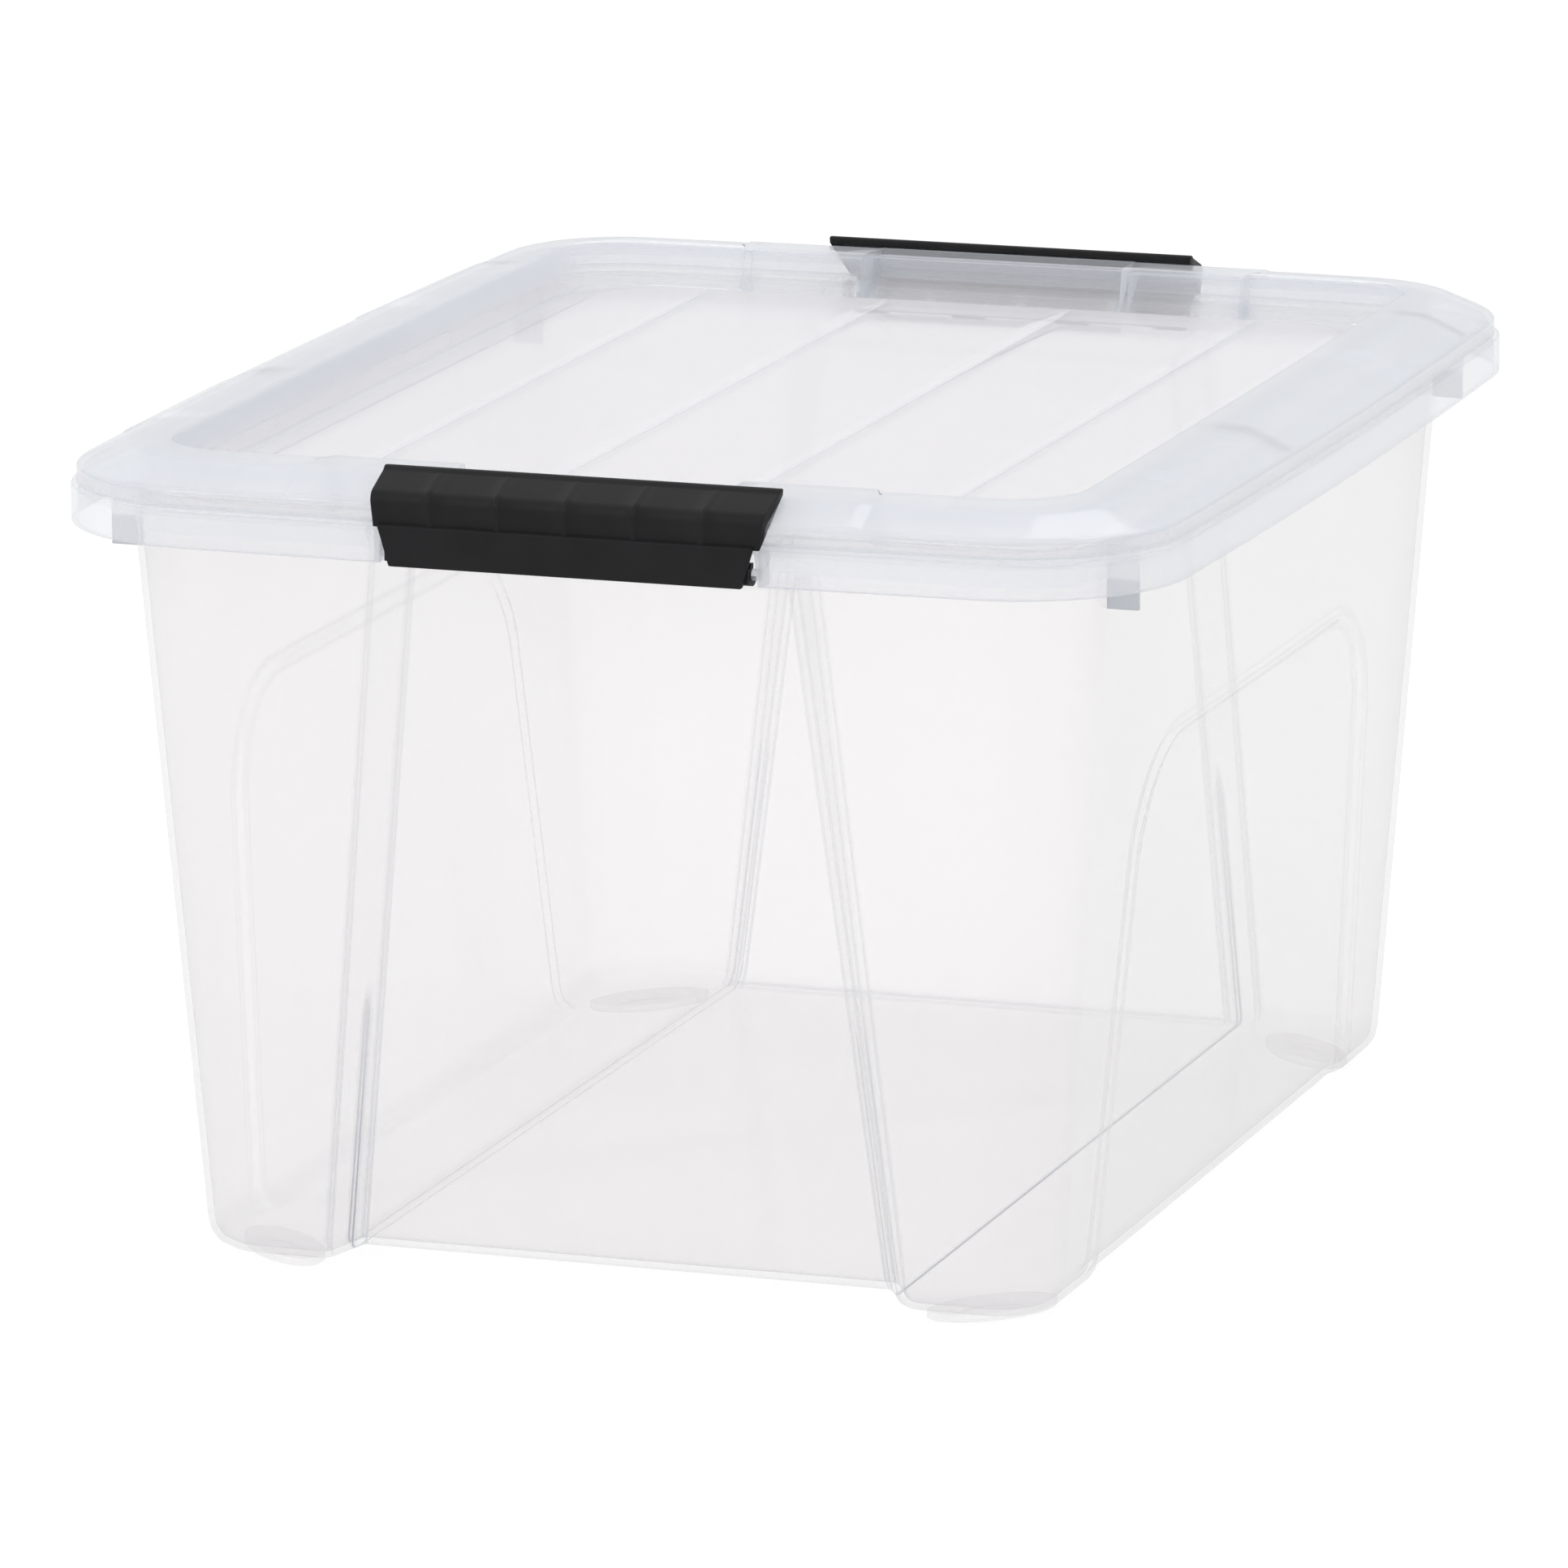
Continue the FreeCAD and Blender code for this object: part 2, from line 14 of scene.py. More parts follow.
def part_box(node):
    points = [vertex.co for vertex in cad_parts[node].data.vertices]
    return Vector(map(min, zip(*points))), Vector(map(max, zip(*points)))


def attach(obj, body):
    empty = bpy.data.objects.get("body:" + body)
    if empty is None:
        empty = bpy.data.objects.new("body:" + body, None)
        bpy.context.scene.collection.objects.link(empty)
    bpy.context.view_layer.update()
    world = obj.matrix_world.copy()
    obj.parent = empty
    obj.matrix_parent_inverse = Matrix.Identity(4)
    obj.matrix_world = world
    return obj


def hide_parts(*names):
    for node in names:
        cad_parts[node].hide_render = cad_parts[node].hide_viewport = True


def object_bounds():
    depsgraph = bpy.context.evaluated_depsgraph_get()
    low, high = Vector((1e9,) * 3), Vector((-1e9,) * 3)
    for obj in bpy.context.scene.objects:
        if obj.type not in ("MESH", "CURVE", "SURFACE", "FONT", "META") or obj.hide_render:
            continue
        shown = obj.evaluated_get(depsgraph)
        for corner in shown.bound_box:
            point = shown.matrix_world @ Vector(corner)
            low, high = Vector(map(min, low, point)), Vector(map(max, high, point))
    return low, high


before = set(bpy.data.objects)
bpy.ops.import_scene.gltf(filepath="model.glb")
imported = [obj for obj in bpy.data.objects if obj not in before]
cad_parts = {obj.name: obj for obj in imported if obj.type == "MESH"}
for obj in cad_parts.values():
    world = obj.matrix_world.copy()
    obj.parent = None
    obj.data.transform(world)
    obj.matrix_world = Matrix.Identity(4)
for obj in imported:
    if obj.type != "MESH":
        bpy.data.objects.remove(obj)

CAD_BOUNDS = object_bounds()
LOG = logging.getLogger("storage_bin")

MM = 0.001
SHARP_ANGLE = np.radians(38.0)
MERGE_MM = 0.004
SLIVER_MM = 0.002
PLASTIC_IOR = 1.49
HEAD_ON_MIRROR = 0.04
SCHLICK_POWER = 5.0


class End(Enum):
    """The two ends of the bin, by the sign of Y."""

    FRONT = -1
    REAR = 1


def limits(node: str) -> tuple[np.ndarray, np.ndarray]:
    """Lowest and highest corner of a CAD node, in millimetres.

    Args:
        node: name of the CAD node.

    Returns:
        The two corners.
    """
    low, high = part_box(node)
    return np.array(low) / MM, np.array(high) / MM


def smooth_step(value: np.ndarray) -> np.ndarray:
    """Zero below 0, one above 1, and 3t^2 - 2t^3 between them."""
    t = np.clip(value, 0.0, 1.0)
    return t * t * (3.0 - 2.0 * t)


def soft_clamp(value: np.ndarray, ease: float) -> np.ndarray:
    """A clamp to 0..1 whose two corners are parabolas.

    Args:
        value: what is clamped.
        ease: how far each parabola reaches to both sides of its corner.

    Returns:
        The clamped values.
    """
    t = np.asarray(value, float)
    near_zero = (t + ease) ** 2 / (4.0 * ease)
    near_one = 1.0 - (1.0 + ease - t) ** 2 / (4.0 * ease)
    result = np.clip(t, 0.0, 1.0)
    result = np.where(np.abs(t) < ease, near_zero, result)
    return np.where(np.abs(t - 1.0) < ease, near_one, result)


# --- outlines and sections ---------------------------------------------------------------


@dataclass(frozen=True)
class Outline:
    """A rounded rectangle in plan with slightly bowed sides, in millimetres.

    bow_x and bow_y are the curvatures of the sides that face X and Y.
    """

    half_x: float
    half_y: float
    corner: float
    bow_x: float = 0.0
    bow_y: float = 0.0

    def inset(self, amount: float) -> "Outline":
        """The parallel outline, amount further in."""
        return replace(self, half_x=self.half_x - amount, half_y=self.half_y - amount,
                       corner=max(self.corner - amount, 0.0))

    def core(self) -> "Outline":
        """The straight-sided rectangle through the centres of the corner arcs."""
        return Outline(self.half_x - self.corner, self.half_y - self.corner, 0.0)

    def values(self) -> list[float]:
        """The five numbers of the outline."""
        return [self.half_x, self.half_y, self.corner, self.bow_x, self.bow_y]


@dataclass(frozen=True)
class Station:
    """One corner of a moulding's section: an outline at a height.

    round is the reach of the corner's curve, and steps the number of rows of the straight run
    that arrives here. relief is how strongly the sunk or stepped features act, skin how far
    the surface lies inside the outer one, and land how strongly the rim's raised lands act.
    """

    outline: Outline
    z: float
    relief: float = 0.0
    skin: float = 0.0
    land: float = 0.0
    round: float = 0.0
    steps: int = 1

    def values(self) -> list[float]:
        """The station as one row of numbers."""
        return [*self.outline.values(), self.z, self.relief, self.skin, self.land]


def soften(points: np.ndarray, rounds: Sequence[float], steps: Sequence[int], turns: int = 4) -> np.ndarray:
    """Rows along a section with its corners rounded.

    Each corner B with neighbours A and C becomes the quadratic curve
    (1-t)^2 P + 2t(1-t) B + t^2 Q, where P and Q lie the corner's reach before and after B.

    Args:
        points: one row of numbers per corner; the first and sixth number measure distance.
        rounds: reach of each corner's curve.
        steps: number of rows on the run that arrives at each corner.
        turns: number of rows on each curve.

    Returns:
        The rows from the first corner to the last.
    """
    def reach(here: np.ndarray, other: np.ndarray, wanted: float) -> np.ndarray:
        gap = max(np.hypot(*(here - other)[[1, 5]]), 1e-6)
        return here + (other - here) * min(wanted / gap, 0.48)

    rows = [points[:1]]
    for index in range(1, len(points)):
        here = points[index]
        last = index == len(points) - 1
        curved = rounds[index] > 0.0 and not last
        start = reach(here, points[index - 1], rounds[index]) if curved else here
        t = np.linspace(0.0, 1.0, steps[index] + 1)[1:, None]
        rows.append(rows[-1][-1] * (1.0 - t) + start * t)
        if curved:
            end = reach(here, points[index + 1], rounds[index])
            t = np.linspace(0.0, 1.0, turns + 1)[1:, None]
            rows.append((1 - t) ** 2 * start + 2 * t * (1 - t) * here + t ** 2 * end)
    return np.concatenate(rows)


def section(stations: Sequence[Station]) -> np.ndarray:
    """The rows of a moulding through its stations."""
    return soften(np.array([s.values() for s in stations]), [s.round for s in stations],
                  [s.steps for s in stations])


@dataclass
class Rows:
    """The columns of a section's numbers, each as an upright array that spreads over a grid."""

    table: np.ndarray

    def __post_init__(self) -> None:
        """Name the numbers of the table."""
        (self.half_x, self.half_y, self.corner, self.bow_x, self.bow_y,
         self.z, self.relief, self.skin, self.land) = self.table.T[:, :, None]

    def tangents(self) -> tuple[np.ndarray, ...]:
        """Where the bowed sides meet the corner arc, found by repeating the tangent condition.

        Returns:
            x of the meeting point on the end, y of the one on the side, the arc's centre and
            the two angles by which the bowed sides have turned there.
        """
        along_end = self.half_x - self.corner
        along_side = self.half_y - self.corner
        for _ in range(6):
            end_turn = np.arctan(self.bow_y * along_end)
            side_turn = np.arctan(self.bow_x * along_side)
            centre_x = self.half_x - self.bow_x * along_side ** 2 / 2 - self.corner * np.cos(side_turn)
            centre_y = self.half_y - self.bow_y * along_end ** 2 / 2 - self.corner * np.cos(end_turn)
            along_end = centre_x + self.corner * np.sin(end_turn)
            along_side = centre_y + self.corner * np.sin(side_turn)
        return along_end, along_side, centre_x, centre_y, end_turn, side_turn


# --- meshes ------------------------------------------------------------------------------


@dataclass
class Surface:
    """Points in millimetres and the faces between them."""

    points: np.ndarray
    faces: list

    def moved(self, offset: Sequence[float] = (0, 0, 0), scale: Sequence[float] = (1, 1, 1)) -> "Surface":
        """The surface scaled, mirrored by a negative scale, and then shifted."""
        return Surface(self.points * np.array(scale) + np.array(offset), self.faces)


def joined(parts: Sequence[Surface]) -> Surface:
    """Several surfaces as one.

    Args:
        parts: the surfaces.

    Returns:
        One surface with all their points and faces.
    """
    points: list[np.ndarray] = []
    faces: list = []
    count = 0
    for part in parts:
        points.append(part.points)
        faces += [[index + count for index in face] for face in part.faces]
        count += len(part.points)
    return Surface(np.concatenate(points), faces)


def woven(grid: np.ndarray, closed: bool) -> Surface:
    """Quads between the rows and columns of a grid of points.

    Args:
        grid: points as (rows, columns, 3).
        closed: True if the last column joins the first.

    Returns:
        The surface.
    """
    rows, columns = grid.shape[:2]
    index = np.arange(rows * columns).reshape(rows, columns)
    if closed:
        index = np.concatenate([index, index[:, :1]], axis=1)
    quads = np.stack([index[:-1, :-1], index[1:, :-1], index[1:, 1:], index[:-1, 1:]], axis=-1)
    return Surface(grid.reshape(-1, 3), quads.reshape(-1, 4).tolist())


def four_quarters(quarter: np.ndarray) -> np.ndarray:
    """The rear right quarter of a grid and its mirror images.

    Args:
        quarter: points as (rows, columns, 3), from the middle of the end to that of the side.

    Returns:
        The whole grid, whose columns form one closed ring.
    """
    mirrored_y = (quarter * [1, -1, 1])[:, ::-1]
    turned = quarter * [-1, -1, 1]
    mirrored_x = (quarter * [-1, 1, 1])[:, ::-1]
    return np.concatenate([quarter, mirrored_y[:, 1:], turned[:, 1:], mirrored_x[:, 1:-1]], axis=1)


def prism(outline: np.ndarray, low: float, high: float, axis: int = 0) -> Surface:
    """A closed bar: a flat outline run along an axis, with its two end faces.

    Args:
        outline: points in the plane across the axis, in cyclic order of the other two axes.
        low: where the bar starts.
        high: where it ends.
        axis: 0, 1 or 2 for X, Y or Z.

    Returns:
        The bar.
    """
    count = len(outline)
    ends = [np.insert(outline, axis, value, axis=1) for value in (low, high)]
    around = np.arange(count)
    after = (around + 1) % count
    sides = np.stack([around, after, after + count, around + count], axis=1).tolist()
    caps = [around[::-1].tolist(), (around + count).tolist()]
    return Surface(np.concatenate(ends), sides + caps)


def block(low: Sequence[float], high: Sequence[float]) -> Surface:
    """A rib with square edges.

    Args:
        low: its lowest corner.
        high: its highest corner.

    Returns:
        The rib.
    """
    x, y = (low[0], high[0]), (low[1], high[1])
    outline = np.array([(x[0], y[0]), (x[1], y[0]), (x[1], y[1]), (x[0], y[1])], float)
    return prism(outline, low[2], high[2], axis=2)


def fold_sharpness(mesh: bpy.types.Mesh, radius: float = 1.5, spread: float = 2.0) -> np.ndarray:
    """How sharply the surface folds at each vertex, from 0 for flat to 1.

    At an edge it is the angle between the two faces over the distance between their middles,
    which is the curvature, times the radius of a full fold. A vertex takes its largest edge.

    Args:
        mesh: the finished mesh, in metres.
        radius: radius of a fold that counts as full, in millimetres.
        spread: the longest distance, in millimetres, over which a fold is taken to be spread.

    Returns:
        One number for each vertex.
    """
    faces = len(mesh.polygons)
    loops = len(mesh.loops)
    normals, middles = np.empty(faces * 3), np.empty(faces * 3)
    mesh.polygons.foreach_get("normal", normals)
    mesh.polygons.foreach_get("center", middles)
    normals, middles = normals.reshape(-1, 3), middles.reshape(-1, 3) / MM
    totals = np.empty(faces, int)
    mesh.polygons.foreach_get("loop_total", totals)
    edge_of_loop = np.empty(loops, int)
    mesh.loops.foreach_get("edge_index", edge_of_loop)
    ends = np.empty(len(mesh.edges) * 2, int)
    mesh.edges.foreach_get("vertices", ends)
    order = np.argsort(edge_of_loop, kind="stable")
    edges = edge_of_loop[order]
    owners = np.repeat(np.arange(faces), totals)[order]
    pair = np.flatnonzero(edges[1:] == edges[:-1])
    one, two = owners[pair], owners[pair + 1]
    angle = np.arccos(np.clip(np.sum(normals[one] * normals[two], axis=1), -1.0, 1.0))
    distance = np.linalg.norm(middles[one] - middles[two], axis=1)
    fold = np.clip(angle * radius / np.clip(distance, 0.3, spread), 0.0, 1.0)
    result = np.zeros(len(mesh.vertices))
    corners = ends.reshape(-1, 2)[edges[pair]]
    np.maximum.at(result, corners.ravel(), np.repeat(fold, 2))
    return result


def make_piece(name: str, shape: Surface, material: bpy.types.Material, body: str, node: str,
               folds_above: float = 0.0) -> bpy.types.Object:
    """Turn a surface into a finished piece that stands for a CAD node.

    Args:
        name: name of the new piece.
        shape: its surface, in millimetres.
        material: its finish.
        body: the moving body that it rides on.
        node: the CAD node that it replaces.
        folds_above: height in millimetres up to which folds get neither extra haze nor the painted fold
            shade.

    Returns:
        The new object.
    """
    mesh = bpy.data.meshes.new(name)
    mesh.from_pydata((shape.points * MM).tolist(), [], shape.faces)
    work = bmesh.new()
    work.from_mesh(mesh)
    bmesh.ops.remove_doubles(work, verts=work.verts, dist=MERGE_MM * MM)
    bmesh.ops.dissolve_degenerate(work, edges=work.edges, dist=SLIVER_MM * MM)
    bmesh.ops.recalc_face_normals(work, faces=work.faces)
    work.to_mesh(mesh)
    work.free()
    mesh.shade_smooth()
    mesh.set_sharp_from_angle(angle=SHARP_ANGLE)
    spots = np.empty(len(mesh.vertices) * 3)
    mesh.vertices.foreach_get("co", spots)
    marked = spots[2::3] > folds_above * MM
    fold = mesh.attributes.new("fold", "FLOAT", "POINT")
    fold.data.foreach_set("value", (fold_sharpness(mesh) * marked).astype(np.float32))
    mesh.materials.append(material)
    piece = bpy.data.objects.new(name, mesh)
    bpy.context.scene.collection.objects.link(piece)
    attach(piece, body)
    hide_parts(node)
    LOG.info("%s: %d faces on %s", name, len(mesh.polygons), body)
    return piece


# --- finishes ----------------------------------------------------------------------------


def linear(code: str) -> tuple[float, float, float, float]:
    """Turn an sRGB colour linear, by the standard curve with its straight foot.

    Args:
        code: the colour as a hex code such as "c8ccd2".

    Returns:
        Red, green, blue and an alpha of one.
    """
    channels = np.array([int(code[i:i + 2], 16) for i in (0, 2, 4)]) / 255.0
    values = np.where(channels <= 0.04045, channels / 12.92, ((channels + 0.055) / 1.055) ** 2.4)
    return (*values.tolist(), 1.0)


def add_node(owner: bpy.types.Material | bpy.types.World, kind: str, settings: dict | None = None,
             inputs: dict | None = None) -> bpy.types.Node:
    """Add a node, set its options and its sockets, and link what is linked.

    Args:
        owner: the material or world that gets the node.
        kind: Blender's node type.
        settings: option names and their values.
        inputs: socket names or numbers, each with a value or with an output socket to link.

    Returns:
        The new node.
    """
    node = owner.node_tree.nodes.new(kind)
    for option, value in (settings or {}).items():
        setattr(node, option, value)
    for socket, value in (inputs or {}).items():
        if isinstance(value, bpy.types.NodeSocket):
            owner.node_tree.links.new(value, node.inputs[socket])
        else:
            node.inputs[socket].default_value = value
    return node


def blank_material(name: str) -> bpy.types.Material:
    """A material with an empty node tree.

    Args:
        name: name of the material.

    Returns:
        The material.
    """
    material = bpy.data.materials.new(name)
    material.use_nodes = True
    material.node_tree.nodes.clear()
    return material


@dataclass(frozen=True)
class ClearPolypropylene:
    """Injection-moulded random-copolymer polypropylene: glossy, see-through and slightly hazy.

    The haze comes from the plastic's crystals. Each wall passes most light straight on and
    scatters a little, and more where the eye looks along it, in the thicker rim above rim_low,
    and where the wall folds. Where the wall folds its colour is also painted darker: a painted
    shade standing in for the dark lines that light draws in a bent clear wall. The outer skin
    mirrors by Schlick's rule: 4 percent head on, and more by the fifth power of the slant.
    """

    name: str
    face_colour: str
    edge_colour: str
    rim_colour: str
    # painted shade: the darker colour mixed in where the wall bends
    fold_shade_colour: str
    face_haze: float
    edge_haze: float
    rim_haze: float
    rim_low_mm: float
    fold_haze: float = 0.36
    rim_fold: float = 0.25
    rim_fade_mm: float = 0.5
    edge_falloff: float = 1.6
    fold_falloff: float = 1.4
    cloudiness: float = 0.15
    forward_share: float = 0.45
    roughness: float = 0.2
    gloss_roughness: float = 0.06
    grazing_gloss: float = 0.45
    flow_mm: float = 90.0

    def build(self) -> bpy.types.Material:
        """Make the node material.

        Returns:
            The finished material.
        """
        material = blank_material(self.name)
        place = add_node(material, "ShaderNodeTexCoord")
        flow = add_node(material, "ShaderNodeTexNoise", {"noise_dimensions": "3D"},
                        {"Vector": place.outputs["Object"], "Scale": 1.0 / (self.flow_mm * MM),
                         "Detail": 1.0})
        facing = add_node(material, "ShaderNodeLayerWeight", None, {"Blend": 0.5})
        edge = add_node(material, "ShaderNodeMath", {"operation": "POWER"},
                        {0: facing.outputs["Facing"], 1: self.edge_falloff})
        haze = add_node(material, "ShaderNodeMapRange", None,
                        {"Value": edge.outputs[0], "To Min": self.face_haze, "To Max": self.edge_haze})
        cloud = add_node(material, "ShaderNodeMapRange", None,
                         {"Value": flow.outputs["Fac"], "To Min": 1.0 - self.cloudiness,
                          "To Max": 1.0 + self.cloudiness})
        wall = add_node(material, "ShaderNodeMath", {"operation": "MULTIPLY"},
                        {0: haze.outputs[0], 1: cloud.outputs[0]})
        height = add_node(material, "ShaderNodeSeparateXYZ", None, {0: place.outputs["Object"]})
        rim = add_node(material, "ShaderNodeMapRange", None,
                       {"Value": height.outputs["Z"], "From Min": (self.rim_low_mm - self.rim_fade_mm) * MM,
                        "From Max": (self.rim_low_mm + self.rim_fade_mm) * MM})
        thicker = add_node(material, "ShaderNodeMath", {"operation": "MULTIPLY_ADD"},
                           {0: rim.outputs[0], 1: self.rim_haze, 2: wall.outputs[0]})
        fold = add_node(material, "ShaderNodeAttribute", {"attribute_name": "fold"})
        crisp = add_node(material, "ShaderNodeMath", {"operation": "POWER"},
                         {0: fold.outputs["Fac"], 1: self.fold_falloff})
        soft_rim = add_node(material, "ShaderNodeMapRange", None,
                            {"Value": rim.outputs[0], "To Min": 1.0, "To Max": self.rim_fold})
        line = add_node(material, "ShaderNodeMath", {"operation": "MULTIPLY"},
                        {0: crisp.outputs[0], 1: soft_rim.outputs[0]})
        share = add_node(material, "ShaderNodeMath", {"operation": "MULTIPLY_ADD", "use_clamp": True},
                         {0: line.outputs[0], 1: self.fold_haze, 2: thicker.outputs[0]})
        tone = add_node(material, "ShaderNodeMix", {"data_type": "RGBA"},
                        {0: edge.outputs[0], 6: linear(self.face_colour), 7: linear(self.edge_colour)})
        rim_tone = add_node(material, "ShaderNodeMix", {"data_type": "RGBA"},
                            {0: rim.outputs[0], 6: tone.outputs[2], 7: linear(self.rim_colour)})
        # Painted shade: the fold mask darkens the colour towards the fold colour at bends.
        colour = add_node(material, "ShaderNodeMix", {"data_type": "RGBA"},
                          {0: line.outputs[0], 6: rim_tone.outputs[2], 7: linear(self.fold_shade_colour)})
        skin = add_node(material, "ShaderNodeBsdfPrincipled", None,
                        {"Base Color": colour.outputs[2], "Roughness": self.roughness, "IOR": PLASTIC_IOR})
        glow = add_node(material, "ShaderNodeBsdfTranslucent", None, {"Color": colour.outputs[2]})
        scatter = add_node(material, "ShaderNodeMixShader", None,
                           {0: self.forward_share, 1: skin.outputs[0], 2: glow.outputs[0]})
        clear = add_node(material, "ShaderNodeBsdfTransparent")
        bulk = add_node(material, "ShaderNodeMixShader", None,
                        {0: share.outputs[0], 1: clear.outputs[0], 2: scatter.outputs[0]})
        grazing = add_node(material, "ShaderNodeMath", {"operation": "POWER"},
                           {0: facing.outputs["Facing"], 1: SCHLICK_POWER})
        schlick = add_node(material, "ShaderNodeMapRange", None,
                           {"Value": grazing.outputs[0], "To Min": HEAD_ON_MIRROR,
                            "To Max": self.grazing_gloss})
        side = add_node(material, "ShaderNodeNewGeometry")
        outside = add_node(material, "ShaderNodeMath", {"operation": "SUBTRACT"},
                           {0: 1.0, 1: side.outputs["Backfacing"]})
        mirror = add_node(material, "ShaderNodeMath", {"operation": "MULTIPLY"},
                          {0: schlick.outputs[0], 1: outside.outputs[0]})
        gloss = add_node(material, "ShaderNodeBsdfGlossy", None, {"Roughness": self.gloss_roughness})
        shader = add_node(material, "ShaderNodeMixShader", None,
                          {0: mirror.outputs[0], 1: bulk.outputs[0], 2: gloss.outputs[0]})
        add_node(material, "ShaderNodeOutputMaterial", None, {"Surface": shader.outputs[0]})
        return material


@dataclass(frozen=True)
class BlackPolypropylene:
    """Black polypropylene moulded in a spark-eroded die: satin, with a fine leathery grain."""

    name: str
    colour: str = "1a1a1b"
    worn_colour: str = "242426"
    roughness: float = 0.45
    specular_level: float = 0.10
    grain_mm: float = 0.55
    grain_depth_mm: float = 0.08
    grain_strength: float = 0.35
    shade_mm: float = 14.0

    def build(self) -> bpy.types.Material:
        """Make the node material.

        Returns:
            The finished material.
        """
        material = blank_material(self.name)
        place = add_node(material, "ShaderNodeTexCoord")
        grain = add_node(material, "ShaderNodeTexNoise", {"noise_dimensions": "3D"},
                         {"Vector": place.outputs["Object"], "Scale": 1.0 / (self.grain_mm * MM),
                          "Detail": 2.0})
        shade = add_node(material, "ShaderNodeTexNoise", {"noise_dimensions": "3D"},
                         {"Vector": place.outputs["Object"], "Scale": 1.0 / (self.shade_mm * MM),
                          "Detail": 3.0})
        bump = add_node(material, "ShaderNodeBump", None,
                        {"Height": grain.outputs["Fac"], "Strength": self.grain_strength,
                         "Distance": self.grain_depth_mm * MM})
        colour = add_node(material, "ShaderNodeMix", {"data_type": "RGBA"},
                          {0: shade.outputs["Fac"], 6: linear(self.colour), 7: linear(self.worn_colour)})
        gloss = add_node(material, "ShaderNodeMapRange", None,
                         {"Value": shade.outputs["Fac"], "To Min": self.roughness - 0.05,
                          "To Max": self.roughness + 0.07})
        shader = add_node(material, "ShaderNodeBsdfPrincipled", None,
                          {"Base Color": colour.outputs[2], "Roughness": gloss.outputs[0],
                           "IOR": PLASTIC_IOR, "Specular IOR Level": self.specular_level,
                           "Normal": bump.outputs[0]})
        add_node(material, "ShaderNodeOutputMaterial", None, {"Surface": shader.outputs[0]})
        return material


# --- bin body ----------------------------------------------------------------------------


@dataclass
class BinBody:
    """The clear bin: tapered walls with sunk panels, floor, feet, flange and hinge bars."""

    wall: float = 2.2
    base_z: float = 3.0
    base_round: float = 10.0
    mouth_inset_x: float = 26.0
    mouth_inset_y: float = 22.2
    mouth_corner: float = 27.0
    base_inset_x: float = 45.6
    base_inset_y: float = 36.8
    base_corner: float = 24.0
    wall_bow: float = 1.0 / 30000.0
    flange_corner: float = 58.0
    flange_bow_x: float = 1.0 / 6000.0
    flange_bow_y: float = 1.0 / 5000.0
    flange_depth: float = 13.4
    floor_raise: float = 3.8
    raise_half: float = 94.0
    raise_slope: float = 14.0
    panel_top: float = 250.0
    panel_roof: float = 9.0
    panel_top_y: float = 212.0
    panel_base_y: float = 194.3
    panel_top_half: float = 67.0
    panel_base_half: float = 95.5
    bevel_top: float = 10.5
    bevel_base: float = 7.5
    panel_foot: float = 0.8
    side_depth: float = 3.0
    side_top: float = 184.0
    side_leg_base: float = 150.0
    side_leg_slope: float = 0.106
    side_corner: float = 40.0
    side_edge: float = 4.6
    notch_half: float = 66.6
    foot_x: float = 128.0
    foot_y: float = 185.0
    foot_long: float = 24.0
    foot_short: float = 11.0
    foot_sink: float = 0.15
    plain_foot: float = 0.3
    stop_y: float = 195.0
    stop_reach: float = 182.5
    stop_bottom: float = 247.0
    hinge_y: float = 241.0
    hinge_z: float = 260.6
    hinge_radius: float = 2.0
    overlap: float = 0.2
    web_positions: tuple[float, ...] = (-35.0, 0.0, 35.0)
    arc_steps: int = 14

    def __post_init__(self) -> None:
        """Take the flange's size and height from the CAD node and fit the outlines to it."""
        high = limits("bin_body")[1]
        self.top = high[2]
        self.flange = Outline(high[0], high[1], self.flange_corner, self.flange_bow_x, self.flange_bow_y)
        self.mouth = Outline(high[0] - self.mouth_inset_x, high[1] - self.mouth_inset_y, self.mouth_corner,
                             self.wall_bow, self.wall_bow)
        self.base = Outline(high[0] - self.base_inset_x, high[1] - self.base_inset_y, self.base_corner,
                            self.wall_bow, self.wall_bow)

    def wall_outline(self, z: float) -> Outline:
        """Outline of the tapered outer wall: base and mouth mixed in proportion to height.

        Args:
            z: the height.

        Returns:
            The outline at that height.
        """
        share = (z - self.base_z) / (self.top - self.base_z)
        mixed = [low + (high - low) * share for low, high in zip(self.base.values(), self.mouth.values())]
        return Outline(*mixed)

    def stations(self) -> list[Station]:
        """The section from the middle of the underside, over the flange, to the inner floor.

        Returns:
            The stations in order.
        """
        under_flange = self.top - self.wall
        skirt_low = self.top - self.flange_depth
        skirt = self.flange.inset(self.wall)
        roof = self.panel_top + self.panel_roof + 3.0

        def outer(z: float, **more: float) -> Station:
            return Station(self.wall_outline(z), z, relief=1.0, **more)

        def inner(z: float, **more: float) -> Station:
            return Station(self.wall_outline(z).inset(self.wall), z, relief=1.0, skin=self.wall, **more)

        fine_low = self.side_top - self.side_corner - 6.0
        fine_high = self.side_top + 6.0
        return [
            Station(self.base.core(), self.base_z),
            outer(self.base_z, round=self.base_round, steps=6),
            outer(fine_low, steps=11),
            outer(fine_high, steps=32),
            outer(self.panel_top - 4.0, steps=6),
            outer(roof, steps=12),
            Station(self.wall_outline(under_flange), under_flange, round=2.5, steps=2),
            Station(skirt, under_flange, round=1.4, steps=3),
            Station(skirt, skirt_low, round=0.8, steps=3),
            Station(self.flange, skirt_low, round=0.8),
            Station(self.flange, self.top, round=1.0, steps=3),
            Station(self.mouth.inset(self.wall), self.top, round=1.2, steps=4),
            inner(roof, steps=3),
            inner(self.panel_top - 4.0, steps=12),
            inner(fine_high, steps=6),
            inner(fine_low, steps=32),
            inner(self.base_z + self.wall, round=self.base_round - self.wall, steps=11),
            Station(self.base.core(), self.base_z + self.wall, skin=self.wall, steps=6),
        ]

